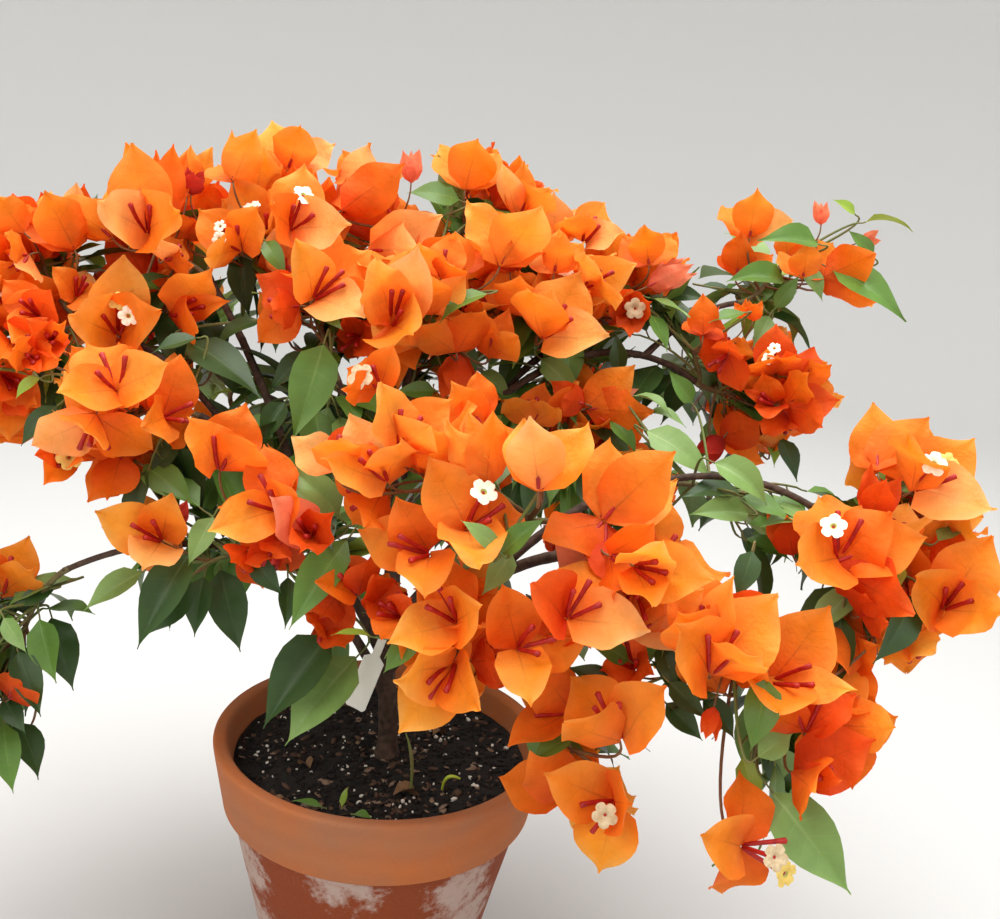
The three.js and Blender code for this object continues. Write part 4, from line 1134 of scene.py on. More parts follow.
def grow_limbs(plant):
    """Works out the curve and the two radii of the trunk and of each bough."""
    foot = np.array(TRUNK["foot"], float)
    fork = np.array(TRUNK["fork"], float)
    middle = np.array([foot[0], foot[1], (foot[2] + fork[2]) / 2])
    plant.limbs["trunk"] = ((foot, middle, fork), (TRUNK["radius"], TRUNK["fork_radius"]))
    for name, (parent, share, tip, arch, radii) in BOUGHS.items():
        start = bezier_point(plant.limbs[parent][0], share)
        end = np.array(tip, float)
        middle = (start + end) / 2 + UP * 2 * arch
        plant.limbs[name] = ((start, middle, end), radii)
    shares = np.linspace(0.06, 1, 30)
    plant.limb_points = np.vstack([bezier(curve, shares) for curve, _ in plant.limbs.values()])


def masses_with_stems(plant):
    """The masses' spaces and stems. Stems that share a bough's tip start side by side on it."""
    masses = {}
    for index, (name, (bough, centre, size, heads, leafy)) in enumerate(MASSES.items()):
        masses[name] = {
            "index": index,
            "bough": bough,
            "centre": np.array(centre, float),
            "size": np.array(size, float),
            "flowering": heads / (heads + leafy),
            "out": unit(np.array(centre, float) - CROWN_CENTRE),
        }
    for mass in masses.values():
        sharing = [other for other in masses.values() if other["bough"] == mass["bough"]]
        curve = plant.limbs[mass["bough"]][0]
        along = bezier_direction(curve, 1)
        side = unit(np.cross(along, UP))
        over = np.cross(side, along)

        def angle_of(other):
            towards = other["centre"] - curve[2]
            return math.atan2(float(towards @ over), float(towards @ side))

        order = sorted(sharing, key=angle_of)
        step = 2 * math.pi / len(order)
        offs = [angle_of(other) - i * step for i, other in enumerate(order)]
        mean = math.atan2(sum(map(math.sin, offs)), sum(map(math.cos, offs)))
        place = [other["index"] for other in order].index(mass["index"])
        angle = mean + place * step
        apart = STEM["apart"] if len(sharing) > 1 else 0
        start = curve[2] - along * STEM["sunk"]
        start = start + (side * math.cos(angle) + over * math.sin(angle)) * apart
        end = mass["centre"] + (start - mass["centre"]) * STEM["reach"]
        bend = float(np.linalg.norm(start - end)) * STEM["bend"]
        mass["stem"] = (start, start + along * bend, end)
    return masses


def reach_of(mass, point):
    """How far a point is from a mass's centre: 0 there, and 1 on the outline of its space."""
    return float(np.linalg.norm((point - mass["centre"]) / mass["size"]))


def spread_directions(pole, count, turn_by):
    """Directions spread evenly over a sphere, from a pole to the point opposite to it."""
    axes = turned_to(pole, 0.0)
    golden = math.pi * (3 - math.sqrt(5))
    heights = 1 - (2 * np.arange(count) + 1) / count
    around = np.sqrt(1 - heights**2)
    angles = np.arange(count) * golden + turn_by
    local = np.stack([around * np.cos(angles), around * np.sin(angles), heights], axis=-1)
    return local @ axes


def picked(random, shares):
    """One of the names, as often as its share says."""
    names = list(shares)
    weights = np.array([shares[name] for name in names], float)
    return names[int(random.choice(len(names), p=weights / weights.sum()))]


def add_floret(plant, place, direction, random, kind):
    """The open mouth of a flower: a little star of ruffled lobes with a darker throat."""
    axes = turned_to(direction, random.uniform(0, 6.3))
    lobes, radius = FLORET["lobes"], FLORET["radius"] * random.uniform(0.85, 1.1)
    if kind == "small":
        radius *= 0.6
    spokes = lobes * 6
    angles = np.arange(spokes) * 2 * math.pi / spokes
    shape = 0.72 + 0.28 * np.abs(np.cos(angles * lobes / 2)) ** 0.6
    rows = [(0.12, -0.4), (0.25, 0.3), (0.6, 1.0), (1.0, 0.6)]
    points = []
    for share, height in rows:
        ripple = 0.5 * share * np.sin(angles * lobes * 2 + random.uniform(0, 6))
        out = radius * share * (1 + (shape - 1) * share)
        points.append(np.stack([out * np.cos(angles), out * np.sin(angles), height + ripple], axis=-1))
    local = np.array(points).reshape(-1, 3)
    faces = grid_faces(len(rows), spokes, closed=True)
    finish = np.repeat(FLORET_FINISHES[kind], spokes)
    plant.pile("florets").add(local @ axes + place, faces, finish=finish)


def add_tubes(plant, base, axis, sides, opening, random, florets, size, seen=False):
    """The slim flower tubes inside the bracts, each by the midrib of its bract, some of them open."""
    for i, side in enumerate(sides):
        lean = min(opening, 1.1) * random.uniform(0.25, 0.5)
        direction = unit(axis * math.cos(lean) + side * math.sin(lean))
        length = TUBE["length"] * size * random.uniform(0.85, 1.1)
        start = base + side * 1.2 * size + axis * 1.5
        end = start + direction * length
        middle = (start + end) / 2 + side * random.uniform(-0.8, 1.2)
        path = bezier((start, middle, end), np.linspace(0, 1, 5))
        swell = np.array([0.75, 0.95, 0.9, 1.0, TUBE["mouth"] / TUBE["radius"]])
        add_tube(plant.pile("tubes"), path, TUBE["radius"] * swell, 6)
        if i < len(florets):
            top = unit(end - middle)
            if seen:
                top = unit(top + FLORET["to_camera"] * unit(CAMERA_PLACE - end))
            add_floret(plant, end + top * 0.8, top, random, florets[i])


def rolled(points, about, angle):
    """Points turned about a direction through their origin."""
    along = (points @ about)[:, None] * about
    across = points - along
    return along + across * math.cos(angle) + np.cross(about, across) * math.sin(angle)


def roll_to_camera(base, axis, side, lean):
    """How far a bract turns about its own length to show its nearer face to the camera."""
    chord = axis * math.cos(lean) + side * math.sin(lean)
    face = axis * math.sin(lean) - side * math.cos(lean)
    towards = CAMERA_PLACE - base
    towards = unit(towards - chord * float(towards @ chord))
    if float(face @ towards) < 0:
        towards = -towards
    angle = math.atan2(float(np.cross(face, towards) @ chord), float(face @ towards))
    most = BRACT["most_roll"]
    return chord, min(most, max(-most, angle * 0.75))


def add_bract(plant, base, axis, side, random, size, opening, cupping, tint, seen=False):
    """One bract of a flower, leaning from its axis out to one side."""
    turned = np.array([side, np.cross(axis, side), axis])
    points, spots = bract_points(random, size, opening, cupping)
    points[:, 0] += 0.8
    points = points @ turned
    if seen:
        chord, angle = roll_to_camera(base, axis, side, opening)
        points = rolled(points, chord, angle)
    finish = list(BRACT_TINTS).index(tint)
    plant.pile("bracts").add(points + base, BRACT_FACES, spots, finish)
    if seen and size > 0.55:
        plant.seen_flowers.add(points + base)


def add_head(plant, base, axis, random, tint, size, spin, opening):
    """One flower: three papery bracts in a cup round three tubes."""
    cupping = random.uniform(0.8, 1.25)
    sides = bract_sides(axis, spin)
    for side in sides:
        add_bract(plant, base, axis, side, random, size, opening * random.uniform(0.9, 1.1), cupping, tint)
    behind = base[1] > CROWN_CENTRE[1]
    florets = ["white"] if behind and random.random() < GROWTH["open_share"] else []
    add_tubes(plant, base, axis, sides, opening, random, florets, size)


def add_stalk(plant, start, base, axis, radii, finish, entry=TWIG["entry"]):
    """A twig or stalk from a place to the foot of a flower, which it enters along the axis."""
    length = float(np.linalg.norm(base - start))
    curve = (start, base - axis * min(length * entry, TWIG["longest_entry"]), base)
    steps = 3 + int(length / 9)
    shares = np.linspace(0, 1, steps + 1)
    path = bezier(curve, shares)
    radius = radii[0] + (radii[1] - radii[0]) * shares
    add_tube(plant.pile("twigs"), path, radius, 6, finish)
    return curve


def add_leaf(plant, place, direction, random, tint, size, face=None):
    """A leaf on its short stalk, its upper face turned to the light."""
    face = UP if face is None else face
    upper = face - direction * float(face @ direction)
    upper = unit(upper + random.normal(0, 0.15, 3))
    upper = unit(upper - direction * float(upper @ direction))
    axes = np.array([upper, np.cross(direction, upper), direction])
    stalk = LEAF["petiole"] * size
    end = place + direction * stalk
    path = np.array([place, (place + end) / 2 - upper * 0.4, end])
    add_tube(plant.pile("twigs"), path, [0.6, 0.5, 0.55], 5, 1)
    points, spots = leaf_points(random, size, random.uniform(0.12, 0.5), random.uniform(0.2, 1.1))
    finish = list(LEAF_TINTS).index(tint)
    points = points @ axes + end
    plant.pile("leaves").add(points, LEAF_FACES, spots, finish)
    return points


def nearest_on_stem(mass, place):
    """The place on the outer part of a mass's stem that is nearest to another place."""
    points = bezier(mass["stem"], np.linspace(1 - STEM["branching"], 1, 12))
    return points[int(np.argmin(np.sum((points - place) ** 2, axis=1)))]


def grow_seen_flower(plant, mass, row, placed, random):
    """A flower read off the picture, on a twig of its own from the stem of its mass."""
    tints, florets = row[4].split(), row[5:]
    base, axis, size, leans = placed
    sides = []
    cupping = random.uniform(0.8, 1.2)
    start = nearest_on_stem(mass, base - axis * 12)
    thin = min(1.0, 0.5 + size / 2)
    add_stalk(plant, start, base, axis, (TWIG["radii"][0] * thin, TWIG["radii"][1] * thin), 0)
    for i, (side, lean) in enumerate(leans):
        add_bract(plant, base, axis, side, random, size, lean, cupping, tints[i % len(tints)], True)
        sides.append(side)
    if size > 0.55:
        mean_lean = sum(lean for _, lean in leans) / 3
        add_tubes(plant, base, axis, sides, mean_lean, random, florets, size, True)
    plant.heads = np.vstack([plant.heads, base + axis * GROWTH["head_middle"] * size])


def grow_seen_leaf(plant, name, mass, row, random):
    """A leaf read off the picture, on a twig of its own from the stem of its mass."""
    place, direction, face, size = set_leaf(name, mass, row)
    start = nearest_on_stem(mass, place - direction * 10)
    add_stalk(plant, start, place, direction, TWIG["radii"], 1, TWIG["leaf_entry"])
    plant.seen_leaves.add(add_leaf(plant, place, direction, random, row[4], size, face))


def leaf_hidden(plant, place, direction, reach):
    """Whether a leaf would be behind what is seen, and in the plant's box."""
    side = unit(np.cross(direction, camera_axes()[2])) * LEAF["half_width"] * 0.8
    middle = place + direction * reach * 0.55
    points = [place + direction * reach * part for part in (0.3, 0.75, 1.0)]
    points += [middle + side, middle - side]
    return inside_box(points) and plant.seen_leaves.hides(points)


def inside_box(points):
    """Whether points are in the box that the plant's outermost bracts and leaves keep to."""
    low, high = np.array(GROWTH["box"], float)
    return bool(np.all(points > low) and np.all(points < high))


def clear_of_heads(plant, point, distance):
    if not len(plant.heads):
        return True
    return float(np.min(np.sum((plant.heads - point) ** 2, axis=1))) > distance**2


def clear_of_limbs(plant, point, distance):
    return float(np.min(np.sum((plant.limb_points - point) ** 2, axis=1))) > distance**2


def has_room(plant, mass, others, point):
    """Whether a flower's middle may stand at a point: in its own mass, and clear of all that is there."""
    own = reach_of(mass, point)
    if any(reach_of(other, point) < own - 0.02 for other in others):
        return False
    clear = clear_of_heads(plant, point, GROWTH["spacing"])
    return clear and clear_of_limbs(plant, point, GROWTH["limb_gap"])


def bract_sides(axis, spin):
    """The three directions, across a flower's axis, to which its bracts lean."""
    axes = turned_to(axis, spin)
    angles = [i * 2 * math.pi / 3 for i in range(3)]
    return [axes[0] * math.cos(angle) + axes[1] * math.sin(angle) for angle in angles]


def flower_aim(plant, mass, start, direction, point, size, random):
    """A facing, a spin and an opening for a flower that keep its bracts where they may be seen."""
    for _ in range(GROWTH["tries"]):
        axis = direction * GROWTH["outward"] + mass["out"] * GROWTH["crown_outward"] + UP * GROWTH["upward"]
        axis = unit(axis + random.uniform(-0.5, 0.5, 3) * GROWTH["wobble"])
        spin = random.uniform(0, 6.3)
        opening = random.uniform(0.45, 0.85)
        base = point - axis * GROWTH["head_middle"] * size
        checked = [point]
        for side in bract_sides(axis, spin):
            chord = (axis * math.cos(opening) + side * math.sin(opening)) * BRACT["length"] * size
            across = np.cross(axis, side) * BRACT["half_width"] * size * 0.9
            checked += [base + chord * 0.95, base + chord * 0.5 + across, base + chord * 0.5 - across]
        stalk = [start * 0.25 + base * 0.75 - axis * TWIG["longest_entry"] * 0.5]
        if inside_box(checked) and plant.seen_flowers.hides(checked) and plant.seen_leaves.hides(stalk):
            return base, axis, spin, opening
    return None


def grow_flower(plant, mass, others, start, direction, random):
    """A twig that ends in one flower, with a leaf or two on the way. True where there was room."""
    size = random.choice([1.0, 1.05, 0.92, 0.8])
    for share in GROWTH["shares"]:
        point = mass["centre"] + direction * mass["size"] * share
        if not has_room(plant, mass, others, point):
            continue
        aim = flower_aim(plant, mass, start, direction, point, size, random)
        if aim is not None:
            break
    else:
        return False
    base, axis, spin, opening = aim
    plant.heads = np.vstack([plant.heads, point])
    curve = add_stalk(plant, start, base, axis, TWIG["radii"], 0)
    add_head(plant, base, axis, random, picked(random, mass["tints"]), size, spin, opening)
    for share in (0.3, 0.55):
        if random.random() < 0.3:
            grow_leaf_on(plant, mass, curve, share, random, random.uniform(0.5, 0.85))
    return True


def grow_leaf_on(plant, mass, curve, share, random, size):
    """A leaf to the side of a twig, skipped where it would cut through flowers on all sides."""
    place = bezier_point(curve, share)
    along = bezier_direction(curve, share)
    for _ in range(5):
        around = random.normal(0, 1, 3)
        around = unit(around - along * float(around @ along))
        direction = unit(around * 0.85 + along * 0.5 - UP * 0.15)
        reach = (LEAF["petiole"] + LEAF["length"]) * size
        tip = place + direction * reach * 0.65
        clear = clear_of_heads(plant, tip, 14) and clear_of_limbs(plant, tip, 6)
        if clear and leaf_hidden(plant, place, direction, reach):
            add_leaf(plant, place, direction, random, picked(random, mass["leaf_tints"]), size)
            return


def grow_leafy_twig(plant, mass, others, start, direction, random):
    """A twig with leaves to either side of it and one at its tip."""
    end = mass["centre"] + direction * mass["size"] * random.uniform(0.5, 0.75)
    own = reach_of(mass, end)
    if any(reach_of(other, end) < own - 0.05 for other in others) or not clear_of_limbs(plant, end, 4):
        return False
    length = float(np.linalg.norm(end - start))
    curve = (start, (start + end) / 2 + UP * 0.14 * length, end)
    direction = unit(bezier_direction(curve, 1) - UP * 0.1)
    if not leaf_hidden(plant, end, direction, (LEAF["petiole"] + LEAF["length"]) * 0.85):
        return False
    shares = np.linspace(0, 1, 3 + int(length / 10))
    radii = np.interp(shares, [0, 1], TWIG["radii"])
    add_tube(plant.pile("twigs"), bezier(curve, shares), radii, 6, 1)
    for i, share in enumerate((0.3, 0.5, 0.68, 0.84)):
        grow_leaf_on(plant, mass, curve, share, random, random.uniform(0.7, 1.05) * (1 - 0.12 * (i == 3)))
    add_leaf(plant, end, direction, random, picked(random, mass["leaf_tints"]), 0.85)
    return True


def grow_mass(plant, name, masses):
    """One mass: its stem, then a twig for each direction that has room."""
    mass = masses[name]
    random = seeded(mass["index"])
    others = [
        other
        for other in masses.values()
        if other is not mass
        and np.linalg.norm(other["centre"] - mass["centre"]) < max(other["size"]) + max(mass["size"])
    ]
    shares = np.linspace(0, 1, 9)
    add_tube(plant.pile("stems"), bezier(mass["stem"], shares), np.interp(shares, [0, 1], STEM["radii"]), 8)
    count = GROWTH["directions"]
    flowering = int(round(count * mass["flowering"]))
    directions = spread_directions(mass["out"], count, random.uniform(0, 6.3))
    for i, direction in enumerate(directions):
        start = bezier_point(mass["stem"], 1 - STEM["branching"] * (i + random.random()) / count)
        if i < flowering:
            grow_flower(plant, mass, others, start, direction, random)
        elif i % 2 == 0:
            grow_leafy_twig(plant, mass, others, start, direction, random)


def bark_relief(along, angle, radius):
    """How far bark stands out at a place: long shallow ridges, fine cracks and swollen joints."""
    ridge = noise.noise(Vector((math.cos(angle) * 2.2, math.sin(angle) * 2.2, along / 22)))
    crack = noise.noise(Vector((math.cos(angle) * 6, math.sin(angle) * 6, along / 5)))
    joint = max(0.0, math.cos(along * 2 * math.pi / 31 + 2 * ridge)) ** 14
    return radius * (0.10 * ridge + 0.05 * crack + 0.10 * joint)


def limb_mesh(plant, name):
    """One limb with the relief of its bark, swollen where it leaves its parent or the soil."""
    curve, (first, last) = plant.limbs[name]
    trunk = name == "trunk"
    length = float(np.linalg.norm(curve[2] - curve[0]))
    step, sides = BARK["trunk" if trunk else "bough"]
    count = max(8, int(length / step))
    shares = np.linspace(0, 1, count + 1)
    path = bezier(curve, shares)
    radii = first + (last - first) * shares
    if trunk:
        flare = np.clip(1 - shares * length / TRUNK["flare_height"], 0, 1) ** 2
        radii = radii + (TRUNK["foot_radius"] - first) * flare
    else:
        radii = radii * (1 + BARK["collar"] * np.clip(1 - shares * length / BARK["collar_length"], 0, 1))
    firsts, seconds = rings(path)
    points = []
    for i, share in enumerate(shares):
        for k in range(sides):
            angle = k * 2 * math.pi / sides
            out = firsts[i] * math.cos(angle) + seconds[i] * math.sin(angle)
            radius = radii[i] + bark_relief(share * length + 13 * len(name), angle, radii[i])
            points.append(path[i] + out * radius)
    plant.pile("bark").add(points, grid_faces(count + 1, sides, closed=True))


def pot_profile():
    """The turned profile of the pot, from the middle of its underside round to its inner floor."""
    band_foot = POT["height"] - POT["band_height"]
    inner_foot = POT["foot_radius"] - POT["wall"]
    inner_foot += (POT["body_top_radius"] - POT["foot_radius"]) * POT["floor"] / band_foot
    outer = POT["rim_radius"]
    slope = (outer - POT["band_foot_radius"]) / POT["band_height"]
    corners = [
        (0.0, 0.0, 0.0),
        (POT["foot_radius"], 0.0, 2.0),
        (POT["body_top_radius"], band_foot + 0.6, 1.2),
        (POT["band_foot_radius"], band_foot, 1.6),
        (outer, POT["height"], 3.2),
        (POT["mouth_radius"] - slope, POT["height"], 3.2),
        (POT["body_top_radius"] - POT["wall"], band_foot, 5.0),
        (inner_foot, POT["floor"], 4.0),
        (0.0, POT["floor"], 0.0),
    ]
    return rounded(corners)


def rounded(corners):
    """A profile with each corner rounded by its own radius, and points every few millimetres."""
    profile = []
    for i, (x, z, radius) in enumerate(corners):
        here = np.array([x, z])
        if radius == 0:
            profile.append(here)
            continue
        before = unit(np.array(corners[i - 1][:2]) - here)
        after = unit(np.array(corners[i + 1][:2]) - here)
        first, last = here + before * radius, here + after * radius
        for t in np.linspace(0, 1, 6):
            profile.append((1 - t) ** 2 * first + 2 * t * (1 - t) * here + t**2 * last)
    filled = [profile[0]]
    for point in profile[1:]:
        gap = float(np.linalg.norm(point - filled[-1]))
        steps = max(1, int(gap / 5))
        start = filled[-1]
        for k in range(1, steps + 1):
            filled.append(start + (point - start) * k / steps)
    return np.array(filled)


def make_pot(materials):
    """The pot, turned on a wheel: not quite even, with three drain holes in its floor."""
    profile = pot_profile()
    sides = POT["sides"]
    pile = Pile()
    points = []
    for x, z in profile:
        for k in range(sides):
            angle = k * 2 * math.pi / sides
            place = Vector((math.cos(angle) * 1.3, math.sin(angle) * 1.3, z / 45))
            uneven = 0.35 * noise.noise(place) * min(1.0, x / 30)
            radius = x + uneven
            points.append((radius * math.cos(angle), radius * math.sin(angle), z))
    pile.add(points, grid_faces(len(profile), sides, closed=True))
    piece = pile.build("clay_pot", materials, "terracotta", ["pot"])
    mesh = piece.data
    work = bmesh.new()
    work.from_mesh(mesh)
    bmesh.ops.remove_doubles(work, verts=work.verts, dist=0.02 * MM)
    bmesh.ops.recalc_face_normals(work, faces=work.faces)
    work.to_mesh(mesh)
    work.free()
    cut_drains(piece)
    return piece


def cut_drains(piece):
    """Cuts the drain holes out of the floor and keeps the result as the pot's own mesh."""
    work = bmesh.new()
    for degrees in POT["drain_angles"]:
        angle = math.radians(degrees)
        middle = Vector((math.cos(angle), math.sin(angle), 0)) * POT["drain_circle"] * MM
        bmesh.ops.create_cone(
            work,
            cap_ends=True,
            segments=32,
            radius1=POT["drain_radius"] * MM,
            radius2=POT["drain_radius"] * MM,
            depth=4 * POT["floor"] * MM,
            matrix=Matrix.Translation(middle),
        )
    mesh = bpy.data.meshes.new("drain_cutter")
    work.to_mesh(mesh)
    work.free()
    cutter = new_object("drain_cutter", mesh)
    cut = piece.modifiers.new("drains", "BOOLEAN")
    cut.object = cutter
    cut.operation = "DIFFERENCE"
    cut.solver = "EXACT"
    graph = bpy.context.evaluated_depsgraph_get()
    result = bpy.data.meshes.new_from_object(piece.evaluated_get(graph))
    piece.modifiers.clear()
    piece.data = result
    bpy.data.objects.remove(cutter)
    bpy.data.meshes.remove(mesh)


def soil_height(x, y):
    """The height of the potting mix: level in the middle, lower at the wall, and lumpy."""
    radius = math.hypot(x, y)
    share = max(0.0, (radius - SOIL["flat_radius"]) / (SOIL["radius"] - SOIL["flat_radius"]))
    level = SOIL["level"] + (SOIL["edge_level"] - SOIL["level"]) * share
    lumps = 1.5 * noise.noise(Vector((x / 17, y / 17, 0.0)))
    lumps += 1.1 * noise.noise(Vector((x / 6, y / 6, 4.0)))
    lumps += 0.7 * noise.noise(Vector((x / 2.6, y / 2.6, 9.0)))
    return level + lumps * (1 - 0.4 * share)


def make_soil_surface(pile):
    """The lumpy top of the mix, with a skirt that goes down out of sight along the pot's wall."""
    circles, sides = 62, 240
    points = []
    for i in range(circles + 1):
        radius = 0.3 + (SOIL["radius"] - 0.3) * i / circles
        for k in range(sides):
            angle = k * 2 * math.pi / sides
            x, y = radius * math.cos(angle), radius * math.sin(angle)
            points.append((x, y, soil_height(x, y)))
    for drop in (3.0, 12.0):
        for k in range(sides):
            angle = k * 2 * math.pi / sides
            radius = SOIL["radius"] - drop * 0.25
            points.append((radius * math.cos(angle), radius * math.sin(angle), SOIL["edge_level"] - drop))
    pile.add(points, grid_faces(circles + 3, sides, closed=True))


def lump_template():
    """The corners and faces of a rough ball, for crumbs and grains."""
    work = bmesh.new()
    bmesh.ops.create_icosphere(work, subdivisions=1, radius=1.0)
    points = np.array([vertex.co[:] for vertex in work.verts])
    faces = np.array([[vertex.index for vertex in face.verts] for face in work.faces])
    work.free()
    return points, faces


def scatter(pile, random, count, sizes, flatness, finish, template):
    """Loose bits lying on the mix: rough balls, each with its own size, stretch and tilt."""
    points, faces = template
    for _ in range(count):
        radius = SOIL["radius"] * 0.97 * math.sqrt(random.random())
        angle = random.uniform(0, 2 * math.pi)
        x, y = radius * math.cos(angle), radius * math.sin(angle)
        size = random.uniform(*sizes) / 2
        stretch = np.array([random.uniform(0.7, 1.5), random.uniform(0.6, 1.0), random.uniform(*flatness)])
        local = points * (1 + random.uniform(-0.22, 0.22, (len(points), 1))) * stretch * size
        tilt = turned_to(unit(UP + random.normal(0, 0.35, 3)), random.uniform(0, 6.3))
        place = np.array([x, y, soil_height(x, y) + size * stretch[2] * 0.35])
        pile.add(local @ tilt + place, faces, finish=finish)


def make_soil(materials, template):
    """The potting mix: dark crumbs, bark chips and white perlite on a lumpy surface."""
    random = seeded(90)
    pile = Pile()
    make_soil_surface(pile)
    for count, sizes, flatness, finish in LOOSE_BITS.values():
        scatter(pile, random, count, sizes, flatness, finish, template)
    return pile.build("potting_mix", materials, "potting_mix", ["soil"])


def make_seedlings(plant):
    """A thin green sprout, a short yellow-green hooked one and three small leaves."""
    random = seeded(91)
    for foot, middle, tip, radii, finish in SPROUTS:
        start = np.array([foot[0], foot[1], soil_height(*foot) - 1.0])
        curve = (start, np.array(middle, float), np.array(tip, float))
        shares = np.linspace(0, 1, 10)
        add_tube(plant.pile("twigs"), bezier(curve, shares), np.interp(shares, [0, 0.6, 1], radii), 6, finish)
    for x, y, lean, size, tint in SEEDLING_LEAVES:
        place = np.array([x, y, soil_height(x, y) + 1.0])
        add_leaf(plant, place, unit(np.array(lean)), random, tint, size)


def make_dry_leaves(plant, random):
    """A few curled dead leaves on the mix."""
    for x, y, spin, size in DRY_LEAVES:
        points, spots = leaf_points(random, size, 0.9, 2.4)
        direction = unit(np.array([math.cos(spin), math.sin(spin), 0.12]))
        axes = np.array([UP, np.cross(direction, UP), direction])
        place = np.array([x, y, soil_height(x, y) + 2.2])
        plant.pile("dry").add(points @ axes + place, LEAF_FACES, spots)


LABEL = {
    "loop_centre": (3, -8, 255.5),
    "loop_radius": 10,
    "loop_slant": -0.9,
    "strap_width": 5,
    "strap_length": 19,
    "width": 13,
    "length": 34,
    "shoulder": 3,
    "thickness": 0.9,
    "tilt": -0.2,
    "lean": 0.25,
    "turn": -0.3,
}


def label_turn():
    turn = Matrix.Rotation(LABEL["turn"], 3, "Z") @ Matrix.Rotation(LABEL["lean"], 3, "Y")
    return turn @ Matrix.Rotation(LABEL["tilt"], 3, "X")


def make_label(materials):
    """A bare plastic plant label on its own strap, looped round the first bough."""
    work = bmesh.new()
    radius, thick = LABEL["loop_radius"], LABEL["thickness"]
    half = LABEL["strap_width"] / 2
    slant = Matrix.Rotation(math.pi / 2 + LABEL["loop_slant"], 3, "Y")
    count = 48
    loop = []
    for i in range(count):
        angle = i * 2 * math.pi / count
        corners = []
        for out, side in ((radius, -half), (radius, half), (radius + thick, half), (radius + thick, -half)):
            point = Vector((out * math.cos(angle), out * math.sin(angle), side))
            corners.append(work.verts.new(slant @ point))
        loop.append(corners)
    for i in range(count):
        here, after = loop[i], loop[(i + 1) % count]
        for k in range(4):
            work.faces.new((here[k], after[k], after[(k + 1) % 4], here[(k + 1) % 4]))
    add_label_plate(work, radius, thick)
    bmesh.ops.recalc_face_normals(work, faces=work.faces)
    turn, centre = label_turn(), Vector(LABEL["loop_centre"])
    for vertex in work.verts:
        vertex.co = (turn @ vertex.co + centre) * MM
    mesh = bpy.data.meshes.new("plant_label")
    work.to_mesh(mesh)
    work.free()
    piece = new_object("plant_label", mesh)
    mesh.materials.append(materials[0])
    bevel = piece.modifiers.new("soft_edges", "BEVEL")
    bevel.width = 0.2 * MM
    bevel.segments = 2
    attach(piece, "root")
    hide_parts("label")
    return piece


def add_label_plate(work, radius, thick):
    """The strap and the wider plate under it, slightly curled, hanging from the loop's front."""
    strap, plate = LABEL["strap_width"] / 2, LABEL["width"] / 2
    shoulder = -LABEL["strap_length"]
    foot = shoulder - LABEL["length"]
    rows = [(0, strap), (shoulder * 0.5, strap), (shoulder, strap), (shoulder - LABEL["shoulder"], plate)]
    rows += [(shoulder - LABEL["length"] * k / 8, plate) for k in range(2, 8)]
    rows += [(foot + 1.5, plate), (foot, plate - 1.5)]
    columns = 5
    layers = []
    for depth in (0.0, thick):
        layer = []
        for height, half in rows:
            for k in range(columns):
                across = -1 + 2 * k / (columns - 1)
                curl = 0.5 * across**2 + 0.9 * ((height / foot) ** 2)
                layer.append(work.verts.new((across * half, -radius - depth - curl + 0.9, height)))
        layers.append(layer)
    count = len(rows)
    for i in range(count - 1):
        for k in range(columns - 1):
            a, b = i * columns + k, (i + 1) * columns + k
            work.faces.new([layers[0][n] for n in (a, a + 1, b + 1, b)])
            work.faces.new([layers[1][n] for n in (a, b, b + 1, a + 1)])
    edge = list(range(columns)) + [i * columns + columns - 1 for i in range(1, count)]
    edge += [(count - 1) * columns + k for k in range(columns - 2, -1, -1)]
    edge += [i * columns for i in range(count - 2, 0, -1)]
    for i, here in enumerate(edge):
        after = edge[(i + 1) % len(edge)]
        work.faces.new((layers[0][here], layers[0][after], layers[1][after], layers[1][here]))


# Materials.


def add(tree, kind, inputs=None, **settings):
    """Adds one node: settings for its properties, and inputs as values or as links from outputs."""
    node = tree.nodes.new("ShaderNode" + kind)
    for name, value in settings.items():
        setattr(node, name, value)
    for socket, value in (inputs or {}).items():
        if isinstance(value, bpy.types.NodeSocket):
            tree.links.new(value, node.inputs[socket])
        else:
            node.inputs[socket].default_value = value
    return node


def new_material(name):
    material = bpy.data.materials.new(name)
    material.use_nodes = True
    material.node_tree.nodes.clear()
    return material, material.node_tree


def finished(tree, surface):
    add(tree, "OutputMaterial", {"Surface": surface})


